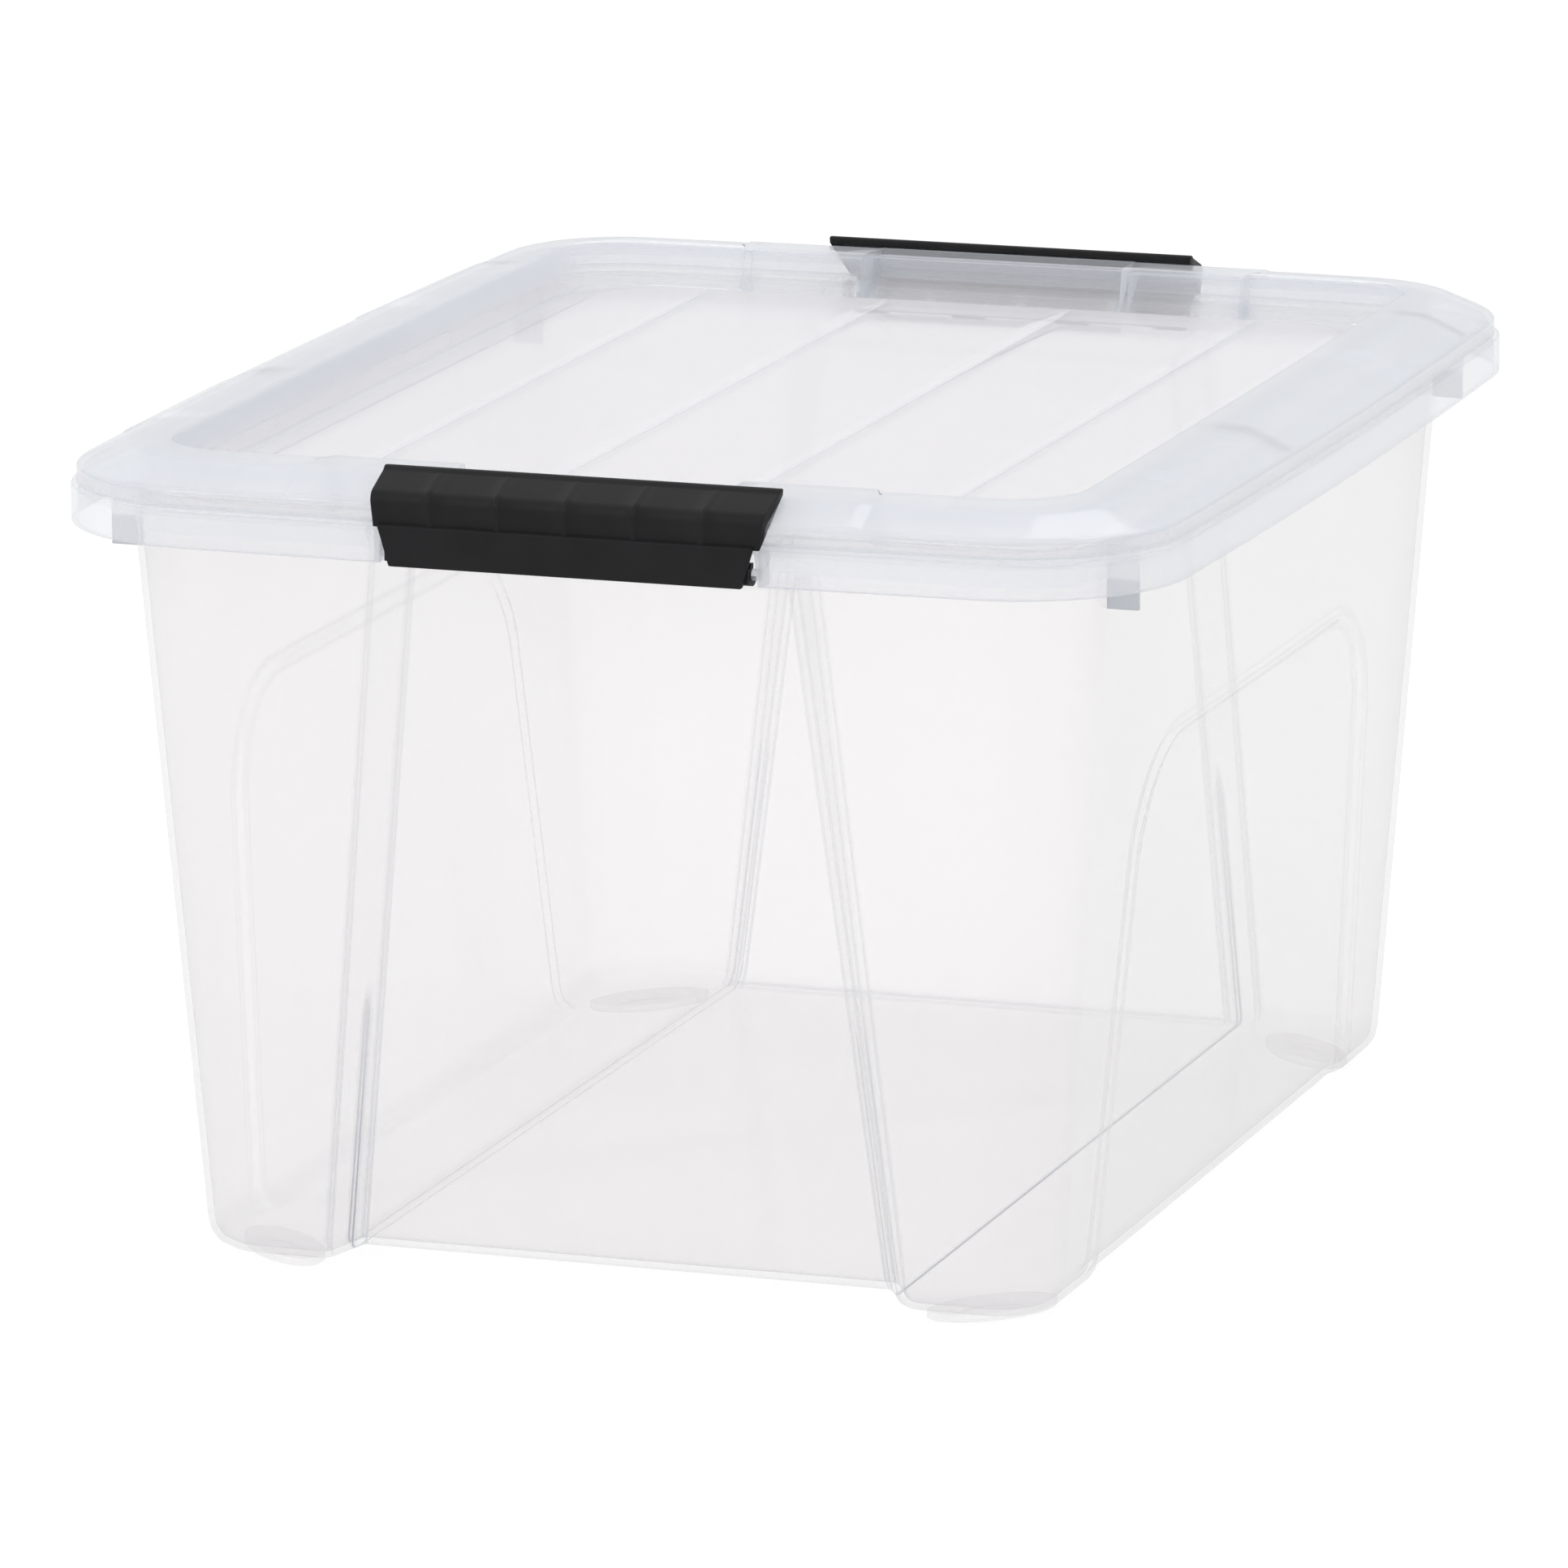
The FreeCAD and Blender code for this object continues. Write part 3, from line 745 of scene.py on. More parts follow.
    def panel_edge(self, rows: Rows) -> tuple[np.ndarray, np.ndarray]:
        """Size of the sunk end panel, linear in height.

        Args:
            rows: the section's rows.

        Returns:
            The panel's half width and the width of its bevel, for each row.
        """
        share = (rows.z + 2.0) / (self.panel_top + 2.0)
        half = self.panel_base_half + (self.panel_top_half - self.panel_base_half) * share + rows.skin
        bevel = self.bevel_base + (self.bevel_top - self.bevel_base) * (rows.z / self.panel_top)
        return half, bevel

    def side_leg(self, rows: Rows) -> np.ndarray:
        """Half length of the sunk side panel at each height, without its rounded corners."""
        return self.side_leg_base - self.side_leg_slope * rows.z + rows.skin

    def columns(self, rows: Rows) -> tuple[np.ndarray, np.ndarray, np.ndarray]:
        """The quarter's points in plan, with columns that follow the edges of the panels.

        Along the end the columns sit at the panel's edge, its bevel and the floor's step, then
        spread evenly to the corner arc. The arc has even angles. Along the side they sit
        around the leg of the side panel.

        Args:
            rows: the section's rows.

        Returns:
            x and y of each point, and 0, 1 or 2 for a point on the end, the arc or the side.
        """
        along_end, along_side, centre_x, centre_y, end_turn, side_turn = rows.tangents()
        half, bevel = self.panel_edge(rows)
        on_flange = rows.z > self.panel_top + self.panel_roof + 5.0
        half = np.where(on_flange, self.notch_half, half)
        near = np.where(on_flange, [-4.0, -2.0, -0.06, 0.06, 2.0, 4.0], [-3.0, -1.4, -0.5, 0.5, 1.4, 3.0])
        far = half + bevel
        first = np.minimum(far + 4.0, along_end - 4.0)
        marks = [(half - 5.0) * np.linspace(0.0, 1.0, 6)[None], half + near,
                 half + bevel * [[0.35, 0.5, 0.62]], far + [[-2.2, -0.7, 0.0, 0.7, 2.2]],
                 first + (along_end - first) * np.linspace(0.0, 1.0, 7)[None]]
        end_x = np.concatenate(marks, axis=1)
        end_y = rows.half_y - rows.bow_y * end_x ** 2 / 2
        turn = np.linspace(0.0, 1.0, self.arc_steps + 1)[None, 1:-1]
        angle = (np.pi / 2 - end_turn) * (1 - turn) + side_turn * turn
        arc_x = centre_x + rows.corner * np.cos(angle)
        arc_y = centre_y + rows.corner * np.sin(angle)
        leg = self.side_leg(rows)
        outer_leg = leg + 7.0
        side_marks = [outer_leg + (along_side - outer_leg) * np.linspace(1.0, 0.0, 5)[None],
                      leg + np.linspace(5.6, -5.6, 9)[None], leg - np.linspace(8.5, 52.0, 18)[None],
                      (leg - 52.0) * np.linspace(0.8, 0.0, 5)[None]]
        side_y = np.concatenate(side_marks, axis=1)
        side_x = rows.half_x - rows.bow_x * side_y ** 2 / 2
        x = np.concatenate([end_x, arc_x, side_x], axis=1)
        y = np.concatenate([end_y, arc_y, side_y], axis=1)
        kind = np.repeat([0, 1, 2], [end_x.shape[1], arc_x.shape[1], side_x.shape[1]])[None]
        return x, y, kind

    def shell(self) -> Surface:
        """The closed thin-walled vessel.

        The end panel lies on its own plane, and the bevel and roof lead back to the wall by
        the larger of their two shares. The side panel is set in by a step over the distance
        to a rounded trapezium. Both fade out over the floor. The middle of the floor is lifted
        by a smooth step in x.

        Returns:
            The vessel's surface.
        """
        rows = Rows(section(self.stations()))
        x, y, kind = self.columns(rows)
        half, bevel = self.panel_edge(rows)
        wall_y = self.base.half_y + (self.mouth.half_y - self.base.half_y) * (
            (rows.z - self.base_z) / (self.top - self.base_z)) - rows.skin
        share = (rows.z + 2.0) / (self.panel_top + 2.0)
        panel_y = self.panel_base_y + (self.panel_top_y - self.panel_base_y) * share - rows.skin
        panel_y = panel_y - self.panel_foot * np.clip(wall_y - rows.half_y, 0.0, None)
        over_bevel = np.clip((x - half) / bevel, -1.0, 2.0)
        over_roof = np.clip((rows.z - self.panel_top - rows.skin) / self.panel_roof, -1.0, 2.0)
        away = (np.clip(over_bevel, 0, None) ** 6 + np.clip(over_roof, 0, None) ** 6) ** (1 / 6)
        away = np.where(away > 0.3, away, np.maximum(over_bevel, over_roof))
        sunk_y = panel_y + (y - panel_y) * soft_clamp(away, 0.08)
        y = np.where(kind == 0, y + rows.relief * (sunk_y - y), y)
        corner_y = y - self.side_leg(rows) + self.side_corner
        corner_z = rows.z - self.side_top - rows.skin + self.side_corner
        corner_z = np.broadcast_to(corner_z, corner_y.shape)
        outside = np.hypot(np.clip(corner_y, 0, None), np.clip(corner_z, 0, None))
        distance = outside + np.minimum(np.maximum(corner_y, corner_z), 0.0) - self.side_corner
        step = soft_clamp(0.5 - distance / self.side_edge, 0.15)
        x = np.where(kind == 2, x - rows.relief * self.side_depth * step, x)
        low = np.clip((self.base_z + self.base_round + rows.skin - rows.z) / self.base_round, 0.0, 1.0)
        z = rows.z + low * self.lift(x)
        in_notch = (kind == 0) & (x < self.notch_half) & (rows.half_y > self.flange.half_y - self.wall - 1.8)
        z = np.where(in_notch, np.maximum(z, self.top - self.wall), z)
        ring = four_quarters(np.stack([x, y, z], axis=-1))
        side = woven(ring, closed=True)
        ends = [self.floor(rows.table[row], x[row], y[row], kind[0]) for row in (0, -1)]
        return joined([side, *ends])

    def lift(self, x: np.ndarray) -> np.ndarray:
        """Height of the raised middle of the floor at x, a smooth step down to both sides."""
        outer = self.raise_half + self.raise_slope
        return self.floor_raise * smooth_step((outer - np.abs(x)) / self.raise_slope)

    def floor(self, row: np.ndarray, x: np.ndarray, y: np.ndarray, kind: np.ndarray) -> Surface:
        """The flat middle of one side of the floor, on the columns of its border.

        Args:
            row: the section's numbers at the border.
            x: x of the border's points.
            y: y of the border's points.
            kind: 0, 1 or 2 for a point on the end, the arc or the side.

        Returns:
            The middle's surface.
        """
        end_x = x[kind == 0]
        side_y = y[kind == 2][::-1]
        across = np.concatenate([-end_x[:0:-1], end_x])
        along = np.concatenate([-side_y[:0:-1], side_y])
        grid_x, grid_y = np.meshgrid(across, along, indexing="ij")
        grid_z = row[5] + self.lift(grid_x)
        return woven(np.stack([grid_x, grid_y, grid_z], axis=-1), closed=False)

    def feet(self) -> list[Surface]:
        """Four oval pads with a chamfered edge and a shallow dimple, set across the corners.

        Each ring of a pad is an ellipse scaled by its reach, at its own height.

        Returns:
            The four pads.
        """
        reach = np.array([0.0, 0.4, 0.5, 0.56, 0.64, 0.83, 0.9, 0.96, 1.0, 1.0, 0.6, 0.0])
        height = np.array([0.9, 0.9, 0.9, 0.0, 0.0, 0.0, 0.0, 0.3, 0.9, 3.0, 3.0, 3.0])
        height = height * (self.base_z + self.foot_sink) / height.max()
        angle = np.linspace(0.0, 2 * np.pi, 48, endpoint=False)
        long_way = reach[:, None] * self.foot_long * np.cos(angle)
        short_way = reach[:, None] * self.foot_short * np.sin(angle)
        root = np.sqrt(0.5)
        grid = np.stack([(long_way - short_way) * root, (long_way + short_way) * root,
                         np.broadcast_to(height[:, None], long_way.shape)], axis=-1)
        pad = woven(grid, closed=True).moved((self.foot_x, -self.foot_y, 0.0))
        return [pad.moved(scale=(sx, sy, 1)) for sx in (1, -1) for sy in (1, -1)]

    def stops(self) -> list[Surface]:
        """Four upright ribs below the flange that keep nested bins apart.

        Returns:
            The four ribs.
        """
        inner_x = self.wall_outline(self.stop_bottom).half_x - 0.5
        rib = block((inner_x, -self.stop_y - self.wall / 2, self.stop_bottom),
                    (self.stop_reach, -self.stop_y + self.wall / 2, self.top - self.wall + self.overlap))
        return [rib.moved(scale=(sx, sy, 1)) for sx in (1, -1) for sy in (1, -1)]

    def hinge_bars(self) -> list[Surface]:
        """The hinge bar at each end, with the webs and cheeks that carry it.

        Returns:
            The front end's parts and the rear end's.
        """
        angle = np.linspace(0.0, 2 * np.pi, 28, endpoint=False)
        circle = np.stack([-self.hinge_y + self.hinge_radius * np.cos(angle),
                           self.hinge_z + self.hinge_radius * np.sin(angle)], axis=1)
        half = self.notch_half
        under = self.top - self.wall + self.overlap
        parts = [prism(circle, -half, half)]
        for x in self.web_positions:
            parts.append(block((x - self.wall / 2, -self.hinge_y - self.hinge_radius, self.hinge_z),
                               (x + self.wall / 2, -self.hinge_y + self.hinge_radius, under)))
        for low, high in ((-half - self.wall, -half), (half, half + self.wall)):
            parts.append(block((low, -self.flange.half_y + 2.0,
                                self.top - self.flange_depth + self.overlap),
                               (high, -self.hinge_y + 3.0, under)))
        front = joined(parts)
        return [front, front.moved(scale=(1, -1, 1))]

    def build(self, finish: bpy.types.Material) -> bpy.types.Object:
        """Make the bin body piece."""
        shape = joined([self.shell(), *self.feet(), *self.stops(), *self.hinge_bars()])
        return make_piece("bin_body_moulding", shape, finish, "bin", "bin_body",
                          folds_above=self.base_z + self.plain_foot)


# --- lid ---------------------------------------------------------------------------------


@dataclass
class Lid:
    """The clear lid: a sloping rim round a sunk panel with a raised, grooved field."""

    wall: float = 2.2
    gap: float = 0.3
    skirt_inset: float = 2.0
    skirt_top: float = 276.2
    slope_inset: float = 3.5
    slope_foot: float = 277.6
    crown_inset: float = 18.0
    crown_drop: float = 0.8
    pan_half_x: float = 162.5
    pan_half_y: float = 212.0
    pan_corner: float = 26.0
    pan_draft: float = 3.5
    pan_depth: float = 17.0
    field_half_x: float = 141.0
    field_half_y: float = 192.0
    field_corner: float = 20.0
    field_rise: float = 4.0
    field_bevel: float = 8.0
    groove_positions: tuple[float, ...] = (35.0, 105.0)
    groove_depth: float = 1.0
    groove_width: float = 1.3
    rib_half_x: float = 170.2
    rib_half_y: float = 219.0
    rib_corner: float = 23.0
    pocket_half: float = 49.0
    pocket_y: float = 226.0
    shoulder_half: float = 97.0
    shoulder_step: float = 4.0
    end_land_half: float = 101.0
    side_land: tuple[float, float] = (68.0, 155.0)
    land_rise: float = 0.5
    arc_steps: int = 16

    def __post_init__(self) -> None:
        """Take the lid's heights and outline from the CAD nodes."""
        low, high = limits("lid")
        self.top = high[2]
        self.rib_low = low[2]
        body = BinBody()
        self.rim = body.flange
        self.skirt_low = body.top + self.gap
        self.pan_z = self.top - self.pan_depth
        self.crown = self.top - self.crown_drop
        self.field_z = self.pan_z + self.field_rise
        bow = body.wall_bow
        self.pan = Outline(self.pan_half_x, self.pan_half_y, self.pan_corner, bow, bow)
        self.field_outline = Outline(self.field_half_x, self.field_half_y, self.field_corner, bow, bow)
        self.rib = Outline(self.rib_half_x, self.rib_half_y, self.rib_corner, bow, bow)

    def stations(self) -> list[Station]:
        """The section from the middle of the field, over the rim, to the middle underneath.

        Returns:
            The stations in order.
        """
        w = self.wall
        pan_low = self.pan.inset(self.pan_draft)
        core = self.field_outline.core()
        return [
            Station(core, self.field_z),
            Station(self.field_outline, self.field_z, round=1.6, steps=4),
            Station(self.field_outline.inset(-self.field_bevel), self.pan_z, round=2.0, steps=2),
            Station(pan_low, self.pan_z, relief=1.0, round=1.6, steps=2),
            Station(self.pan, self.top, relief=1.0, land=0.0, round=0.9, steps=6),
            Station(self.rim.inset(self.crown_inset), self.crown, land=1.0, round=3.0, steps=3),
            Station(self.rim.inset(self.slope_inset), self.slope_foot, land=1.0, round=1.4, steps=4),
            Station(self.rim.inset(self.skirt_inset), self.skirt_top, land=0.2, round=0.5),
            Station(self.rim.inset(self.skirt_inset), self.skirt_low, round=0.4, steps=2),
            Station(self.rim.inset(self.skirt_inset + w), self.skirt_low, skin=w, round=0.4),
            Station(self.rim.inset(self.skirt_inset + w), self.skirt_top - 1.0, skin=w, round=0.8, steps=2),
            Station(self.rim.inset(self.crown_inset + 0.7), self.crown - w, skin=w, land=1.0, round=2.0,
                    steps=3),
            Station(self.rib, self.crown - w + 0.2, skin=w, round=0.8),
            Station(self.rib, self.rib_low, skin=w, round=0.5, steps=4),
            Station(self.rib.inset(w), self.rib_low, skin=w, round=0.5),
            Station(self.rib.inset(w), self.top - w - 0.2, skin=w, relief=0.0, round=0.5, steps=4),
            Station(self.pan.inset(-w), self.top - w, skin=w, relief=1.0, round=0.6),
            Station(pan_low.inset(-w), self.pan_z - w, skin=w, relief=1.0, round=1.8, steps=6),
            Station(self.field_outline.inset(-self.field_bevel), self.pan_z - w, skin=w, round=2.0, steps=2),
            Station(self.field_outline, self.field_z - w, skin=w, round=1.6, steps=2),
            Station(core, self.field_z - w, skin=w, steps=4),
        ]

    def columns(self, rows: Rows) -> tuple[np.ndarray, np.ndarray, np.ndarray]:
        """The quarter's points in plan, with pairs of close columns at every step.

        Args:
            rows: the section's rows.

        Returns:
            x and y of each point, and 0, 1 or 2 for a point on the end, the arc or the side.
        """
        along_end, along_side, centre_x, centre_y, end_turn, side_turn = rows.tangents()
        ones = np.ones_like(rows.z)
        groove = np.array([-2.4, -1.2, 0.0, 1.2, 2.4])
        pair = np.array([-0.5, 0.5])
        on_rim = rows.half_y > self.pan_half_y + 4.0
        shoulder = np.where(on_rim, self.end_land_half - 1.0, self.shoulder_half - rows.skin)
        pocket = self.pocket_half + rows.skin
        start = 110.5 * ones
        marks = [ones * [0.0, 10.0, 20.0, 29.0], ones * (self.groove_positions[0] + groove), ones * [43.0],
                 pocket + pair, ones * [58.0, 68.0, 78.0, 88.0], shoulder + pair,
                 ones * (self.groove_positions[1] + groove),
                 start + (along_end - start) * np.linspace(0.0, 1.0, 5)[None]]
        end_x = np.concatenate(marks, axis=1)
        end_y = rows.half_y - rows.bow_y * end_x ** 2 / 2
        turn = np.linspace(0.0, 1.0, self.arc_steps + 1)[None, 1:-1]
        angle = (np.pi / 2 - end_turn) * (1 - turn) + side_turn * turn
        arc_x = centre_x + rows.corner * np.cos(angle)
        arc_y = centre_y + rows.corner * np.sin(angle)
        near, far = self.side_land
        last = 162.0 * ones
        side_marks = [last + (along_side - last) * np.linspace(1.0, 0.0, 4)[None],
                      far + ones * [0.6, -0.6], ones * [146.0, 132.0, 116.0, 100.0, 84.0],
                      near + ones * [0.6, -0.6], ones * [58.0, 44.0, 30.0, 15.0, 0.0]]
        side_y = np.concatenate(side_marks, axis=1)
        side_x = rows.half_x - rows.bow_x * side_y ** 2 / 2
        x = np.concatenate([end_x, arc_x, side_x], axis=1)
        y = np.concatenate([end_y, arc_y, side_y], axis=1)
        kind = np.repeat([0, 1, 2], [end_x.shape[1], arc_x.shape[1], side_x.shape[1]])[None]
        return x, y, kind

    def groove(self, x: np.ndarray, y: np.ndarray) -> np.ndarray:
        """Depth of the grooves: a bell curve across each line, fading out at both ends."""
        depth = sum(np.exp(-((np.abs(x) - line) / self.groove_width) ** 2) for line in self.groove_positions)
        return self.groove_depth * depth * smooth_step((self.field_half_y - 1.0 - np.abs(y)) / 5.0)

    def shell(self) -> Surface:
        """The closed thin-walled lid.

        Beside the latch the pan wall stands a step further in. Behind the latch it leans back
        to the pocket's edge, by a share that grows with height. The rim's lands are lifted by
        smooth steps along the end and along the side.

        Returns:
            The lid's surface.
        """
        rows = Rows(section(self.stations()))
        x, y, kind = self.columns(rows)
        z = np.broadcast_to(rows.z, x.shape)
        on_end = kind == 0
        up = np.clip((rows.z + rows.skin - self.pan_z) / self.pan_depth, 0.0, 1.0)
        in_pocket = on_end & (x < self.pocket_half + rows.skin)
        in_shoulder = on_end & ~in_pocket & (x < self.shoulder_half - rows.skin)
        lean = rows.relief * up * (self.pocket_y - self.pan_half_y)
        y = np.where(in_pocket, y + lean, y) - np.where(in_shoulder, rows.relief * self.shoulder_step, 0.0)
        z = z - np.where(in_pocket, rows.relief * up * 1.2, 0.0)
        near, far = self.side_land
        end_land = on_end * smooth_step(self.end_land_half - 0.5 - x)
        side_land = (kind == 2) * smooth_step(y - near + 0.5) * smooth_step(far + 0.5 - y)
        z = z + rows.land * self.land_rise * (end_land + side_land - 0.5)
        on_field = np.clip((rows.z + rows.skin - self.pan_z) / self.field_rise, 0, 1)
        on_field = on_field * (rows.half_x < self.field_half_x + self.field_bevel)
        z = z - on_field * self.groove(x, y)
        ring = four_quarters(np.stack([x, y, z], axis=-1))
        ends = [self.middle(rows.table[row], x[row], y[row], kind[0]) for row in (0, -1)]
        return joined([woven(ring, closed=True), *ends])

    def middle(self, row: np.ndarray, x: np.ndarray, y: np.ndarray, kind: np.ndarray) -> Surface:
        """The flat middle of one side of the field, on the columns of its border.

        Args:
            row: the section's numbers at the border.
            x: x of the border's points.
            y: y of the border's points.
            kind: 0, 1 or 2 for a point on the end, the arc or the side.

        Returns:
            The middle's surface.
        """
        end_x = x[kind == 0]
        side_y = y[kind == 2][::-1]
        across = np.concatenate([-end_x[:0:-1], end_x])
        along = np.concatenate([-side_y[:0:-1], side_y])
        grid_x, grid_y = np.meshgrid(across, along, indexing="ij")
        grid_z = row[5] - self.groove(grid_x, grid_y)
        return woven(np.stack([grid_x, grid_y, grid_z], axis=-1), closed=False)

    def build(self, finish: bpy.types.Material) -> bpy.types.Object:
        """Make the lid piece."""
        return make_piece("lid_moulding", self.shell(), finish, "lid", "lid")


# --- latches -----------------------------------------------------------------------------


@dataclass
class Latch:
    """One black latch: a ribbed grip with a bead lip, a flat lower panel and open hooks.

    Profiles are in millimetres as distance out from the middle of the bin and height.
    """

    end: End
    seam_z: float = 270.6
    rib_pitch: float = 24.5
    rib_count: int = 5
    rib_width: float = 3.0
    rib_height: float = 0.8
    waist_half: float = 68.0
    panel_top_half: float = 66.0
    panel_base_half: float = 62.0
    hinge_y: float = 241.0
    hinge_z: float = 260.6
    hook_bore: float = 2.08
    hook_wall: float = 1.8
    hook_width: float = 12.0
    arm_half: float = 2.4
    arm_sink: float = 1.2
    hook_positions: tuple[float, ...] = (-58.0, -20.0, 20.0, 58.0)
    end_round: float = 0.45
    corner_turns: int = 4
    ribbed_corners: int = 4

    def __post_init__(self) -> None:
        """Take the latch's outer sizes from its CAD node."""
        self.node = f"{self.end.name.lower()}_latch"
        low, high = limits(self.node)
        self.lip_half = high[0]
        self.top = high[2]
        self.bottom = low[2]
        self.face_y = max(abs(low[1]), abs(high[1]))

    def rounded_loop(self, corners: Sequence[tuple[float, float, float]]) -> np.ndarray:
        """A closed profile with each corner replaced by a quadratic curve.

        Args:
            corners: distance out, height and reach of the curve for each corner.

        Returns:
            The profile's points, distance out and height.
        """
        points = np.array([corner[:2] for corner in corners])
        reach = np.array([corner[2] for corner in corners])[:, None]
        before = np.roll(points, 1, axis=0) - points
        after = np.roll(points, -1, axis=0) - points
        start = points + before * np.minimum(reach / np.linalg.norm(before, axis=1)[:, None], 0.48)
        finish = points + after * np.minimum(reach / np.linalg.norm(after, axis=1)[:, None], 0.48)
        t = np.linspace(0.0, 1.0, self.corner_turns + 1)[None, :, None]
        curve = (1 - t) ** 2 * start[:, None] + 2 * t * (1 - t) * points[:, None] + t ** 2 * finish[:, None]
        return curve.reshape(-1, 2)

    def stretched(self, profile: np.ndarray, half: np.ndarray, stations: np.ndarray,
                  swell: np.ndarray | None = None) -> Surface:
        """A profile run along X between slanted ends, with rounded end edges.

        Each point's x is its own half width times the station, and the last stations shrink the
        profile a little towards its middle, which rounds the end's edge.

        Args:
            profile: distance out and height of each point.
            half: half width at each point.
            stations: share of the half width, from -1 to 1.
            swell: how far each point moves out along the profile's normal, as (stations, points).

        Returns:
            The closed surface.
        """
        ahead = np.roll(profile, -1, axis=0) - np.roll(profile, 1, axis=0)
        normal = np.stack([ahead[:, 1], -ahead[:, 0]], axis=1)
        normal = normal / np.maximum(np.linalg.norm(normal, axis=1), 1e-9)[:, None]
        area = np.sum(profile[:, 0] * np.roll(profile[:, 1], -1) - profile[:, 1] * np.roll(profile[:, 0], -1))
        normal = normal * np.sign(area)
        edge = self.end_round
        to_end = (1.0 - np.abs(stations))[:, None] * half[None]
        tuck = edge - np.sqrt(np.clip(edge ** 2 - np.clip(edge - to_end, 0.0, edge) ** 2, 0.0, None))
        offset = -tuck if swell is None else swell - tuck
        spot = profile[None] + offset[..., None] * normal[None]
        x = stations[:, None] * half[None]
        grid = np.stack([x, self.end.value * spot[..., 0], spot[..., 1]], axis=-1)
        side = woven(grid, closed=True)
        count = len(profile)
        first = np.arange(count)[::-1].tolist()
        last = (np.arange(count) + count * (len(stations) - 1)).tolist()
        return Surface(side.points, side.faces + [first, last])

    def end_stations(self, half: float, middle: np.ndarray) -> np.ndarray:
        """Stations of the middle with close ones added at both ends for the rounded edge."""
        close = 1.0 - np.array([0.0, 0.1, 0.25, 0.45, 1.2]) / half
        return np.concatenate([-close, middle[np.abs(middle) < close[-1]], close[::-1]])

    def grip(self) -> Surface:
        """The gripping part from the seam over the shoulder to the bead lip, with its ribs.

        A rib rises by a smooth step of the distance to its middle.

        Returns:
            The grip's surface.
        """
        out = self.face_y
        top = self.top
        corners = [(out - 1.8, self.seam_z - 1.0, 0.3), (out - 1.8, 278.4, 1.2), (out - 3.6, 281.2, 2.0),
                   (out - 15.2, 285.5, 0.4), (out - 16.6, 286.0, 0.9), (out - 18.6, top, 1.1),
                   (out - 21.0, top - 0.3, 0.9),
                   (out - 21.2, 284.7, 0.4), (out - 18.8, 284.15, 0.5), (out - 10.0, 280.8, 1.0),
                   (out - 4.6, 278.9, 1.6), (out - 4.2, 272.2, 0.4), (out - 2.5, 271.5, 0.3),
                   (out - 2.5, self.seam_z - 1.0, 0.2)]
        profile = self.rounded_loop(corners)
        height = profile[:, 1]
        share = np.clip((height - self.seam_z) / (top - self.seam_z), 0.0, 1.0)
        half = self.waist_half + (self.lip_half - self.waist_half) * share
        centres = (np.arange(self.rib_count) - (self.rib_count - 1) / 2) * self.rib_pitch
        around = np.linspace(-0.5, 0.5, 9) * self.rib_width
        middle = np.unique(np.concatenate([(centres[:, None] + around).ravel(),
                                           np.linspace(-66.0, 66.0, 23)])) / self.lip_half
        stations = self.end_stations(self.lip_half, middle)
        x = stations[:, None] * self.lip_half
        nearest = np.min(np.abs(x[..., None] - centres), axis=-1)
        bump = smooth_step(1.4 - 2.0 * nearest / self.rib_width)
        ribbed = np.arange(len(profile)) < self.ribbed_corners * (self.corner_turns + 1)
        swell = self.rib_height * bump * ribbed
        return self.stretched(profile, half, stations, swell)

    def panel(self) -> Surface:
        """The flat lower panel, slightly proud of the grip and narrower at its foot.

        Returns:
            The panel's surface.
        """
        out = self.face_y
        low = self.bottom
        corners = [(out, low, 0.7), (out, self.seam_z - 0.2, 0.5), (out - 2.0, self.seam_z + 0.6, 0.3),
                   (out - 2.4, self.seam_z + 0.6, 0.2), (out - 2.4, low, 0.3)]
        profile = self.rounded_loop(corners)
        share = np.clip((profile[:, 1] - low) / (self.seam_z - low), 0.0, 1.0)
        half = self.panel_base_half + (self.panel_top_half - self.panel_base_half) * share
        stations = self.end_stations(self.panel_top_half, np.linspace(-0.95, 0.95, 13))
        return self.stretched(profile, half, stations)

    def hooks(self) -> list[Surface]:
        """Open rings that snap over the hinge bar, each with an arm to the panel.

        Returns:
            The rings and arms.
        """
        angle = np.radians(np.linspace(85.0, 334.0, 26))
        outer = self.hook_bore + self.hook_wall
        ring = [np.stack([np.cos(turn) * radius, np.sin(turn) * radius], axis=1)
                for radius, turn in ((outer, angle), (self.hook_bore, angle[::-1]))]
        outline = np.concatenate(ring) * [-1.0, 1.0] + [self.hinge_y, self.hinge_z]
        root = self.hinge_y + outer - self.arm_sink
        tip = self.face_y - 2.0
        under, over = self.hinge_z - self.arm_half, self.hinge_z + self.arm_half
        arm = np.array([(root, under), (tip, under), (tip, over), (root, over)])
        parts = []
        for x in self.hook_positions:
            low, high = x - self.hook_width / 2, x + self.hook_width / 2
            parts += [prism(shape * [self.end.value, 1.0], low, high) for shape in (outline, arm)]
        return parts

    def build(self, finish: bpy.types.Material) -> bpy.types.Object:
        """Make the latch piece."""
        shape = joined([self.grip(), self.panel(), *self.hooks()])
        return make_piece(f"{self.node}_moulding", shape, finish, self.node, self.node)


# --- studio ------------------------------------------------------------------------------


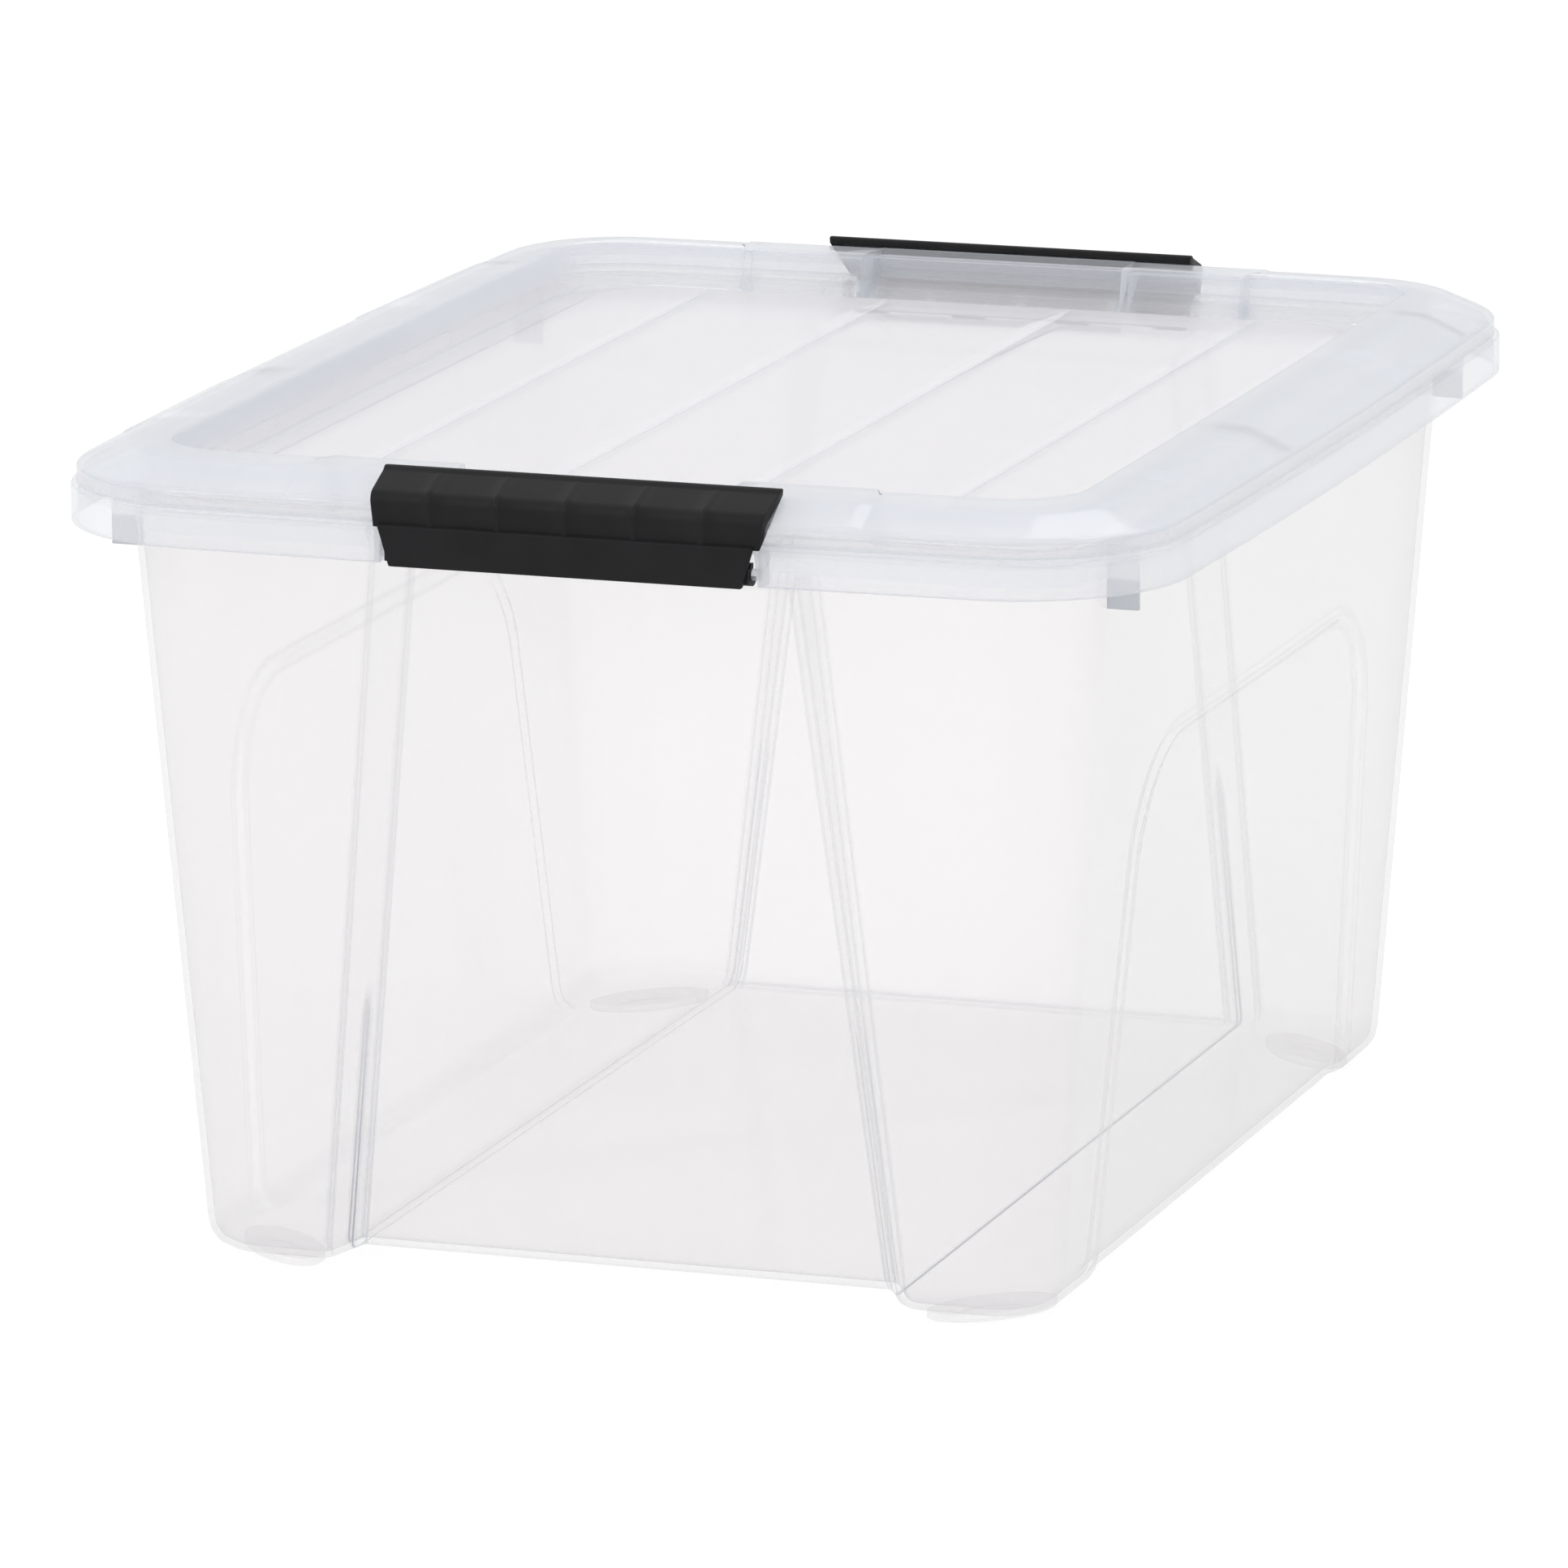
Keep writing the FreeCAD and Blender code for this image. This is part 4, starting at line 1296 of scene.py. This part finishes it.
@dataclass(frozen=True)
class Viewpoint:
    """A camera in metres, by the direction that it looks back along."""

    location: tuple[float, float, float] = (1.26655, -3.6604, 1.01297)
    yaw: float = 19.222
    pitch: float = 12.793
    roll: float = -0.32
    lens_mm: float = 258.5
    sensor_mm: float = 36.0
    far_clip: float = 60.0

    def place(self) -> bpy.types.Object:
        """Make the camera: its back axis from yaw and pitch, and its other two turned by the roll.

        Returns:
            The camera.
        """
        yaw, pitch, roll = np.radians([self.yaw, self.pitch, self.roll])
        back = np.array([np.sin(yaw) * np.cos(pitch), -np.cos(yaw) * np.cos(pitch), np.sin(pitch)])
        level = np.array([np.cos(yaw), np.sin(yaw), 0.0])
        upright = np.cross(back, level)
        right = level * np.cos(roll) + upright * np.sin(roll)
        up = upright * np.cos(roll) - level * np.sin(roll)
        data = bpy.data.cameras.new("studio_camera")
        data.lens = self.lens_mm
        data.sensor_width = self.sensor_mm
        data.clip_end = self.far_clip
        camera = bpy.data.objects.new("studio_camera", data)
        camera.matrix_world = Matrix([(*values, place) for values, place
                                      in zip(np.stack([right, up, back], axis=1).tolist(), self.location)]
                                     + [(0.0, 0.0, 0.0, 1.0)])
        bpy.context.scene.collection.objects.link(camera)
        bpy.context.scene.camera = camera
        return camera


@dataclass(frozen=True)
class Studio:
    """A white room: pale floor, even white surroundings and two large soft lamps."""

    floor_half: float = 40.0
    floor_gap: float = 0.0002
    floor_colour: str = "fafafa"
    floor_glow: float = 1.08
    paper_share: float = 0.2
    world_colour: str = "ffffff"
    horizon_strength: float = 0.75
    zenith_strength: float = 1.2
    clear_skins: int = 40

    def floor(self) -> bpy.types.Object:
        """A plain pale floor at the height of the feet.

        Returns:
            The floor.
        """
        reach = self.floor_half
        mesh = bpy.data.meshes.new("studio_floor")
        level = CAD_BOUNDS[0][2] - self.floor_gap
        mesh.from_pydata([(-reach, -reach, level), (reach, -reach, level), (reach, reach, level),
                          (-reach, reach, level)], [], [(0, 1, 2, 3)])
        material = blank_material("white_paper_sweep")
        paper = add_node(material, "ShaderNodeBsdfDiffuse", None, {"Color": linear(self.floor_colour)})
        lit = add_node(material, "ShaderNodeEmission", None,
                       {"Color": linear(self.floor_colour), "Strength": self.floor_glow})
        shader = add_node(material, "ShaderNodeMixShader", None,
                          {0: self.paper_share, 1: lit.outputs[0], 2: paper.outputs[0]})
        add_node(material, "ShaderNodeOutputMaterial", None, {"Surface": shader.outputs[0]})
        mesh.materials.append(material)
        floor = bpy.data.objects.new("studio_floor", mesh)
        bpy.context.scene.collection.objects.link(floor)
        return floor

    def lamp(self, name: str, place: tuple[float, float, float], size: float, power: float) -> None:
        """A square area lamp that faces the middle of the bin.

        Args:
            name: name of the lamp.
            place: where it stands, in metres.
            size: side of its square, in metres.
            power: its power in watts.
        """
        data = bpy.data.lights.new(name, "AREA")
        data.size = size
        data.energy = power
        lamp = bpy.data.objects.new(name, data)
        centre = Vector((0.0, 0.0, CAD_BOUNDS[1][2] / 2))
        aim = (centre - Vector(place)).to_track_quat("-Z", "Y").to_matrix().to_4x4()
        lamp.matrix_world = Matrix.Translation(place) @ aim
        bpy.context.scene.collection.objects.link(lamp)

    def build(self) -> None:
        """Set up the surroundings, the floor and the lamps."""
        scene = bpy.context.scene
        scene.view_settings.view_transform = "Standard"
        scene.cycles.transparent_max_bounces = self.clear_skins
        world = bpy.data.worlds.new("white_room")
        scene.world = world
        world.use_nodes = True
        background = world.node_tree.nodes["Background"]
        background.inputs["Color"].default_value = linear(self.world_colour)
        direction = add_node(world, "ShaderNodeTexCoord")
        height = add_node(world, "ShaderNodeSeparateXYZ", None, {0: direction.outputs["Generated"]})
        glow = add_node(world, "ShaderNodeMapRange", None,
                        {"Value": height.outputs["Z"], "To Min": self.horizon_strength,
                         "To Max": self.zenith_strength})
        world.node_tree.links.new(glow.outputs[0], background.inputs["Strength"])
        self.floor()
        self.lamp("key_lamp", (-2.2, -2.6, 2.8), 1.5, 26.0)
        self.lamp("top_lamp", (0.6, 1.6, 3.2), 1.6, 14.0)


def main() -> None:
    """Build the bin, its lid, its latches and the studio."""
    logging.basicConfig(level=logging.INFO, format="%(message)s")
    # The fold colours below are painted shade, darker where the walls bend.
    body_finish = ClearPolypropylene("clear_random_copolymer_polypropylene", face_colour="e9e4e6",
                                     edge_colour="e4e4e4", rim_colour="ebedf1", fold_shade_colour="b4bbc3",
                                     face_haze=0.13, edge_haze=0.33, rim_haze=0.12, rim_low_mm=257.0)
    lid_finish = ClearPolypropylene("clear_lid_polypropylene", face_colour="ecebee", edge_colour="e9e7eb",
                                    rim_colour="e7eaef", fold_shade_colour="dadfe5", face_haze=0.13,
                                    edge_haze=0.58, rim_haze=0.09, rim_low_mm=275.0, fold_haze=0.25)
    latch_finish = BlackPolypropylene("black_spark_eroded_polypropylene").build()
    BinBody().build(body_finish.build())
    Lid().build(lid_finish.build())
    for end in End:
        Latch(end).build(latch_finish)
    Viewpoint().place()
    Studio().build()


if __name__ == "__main__":
    main()
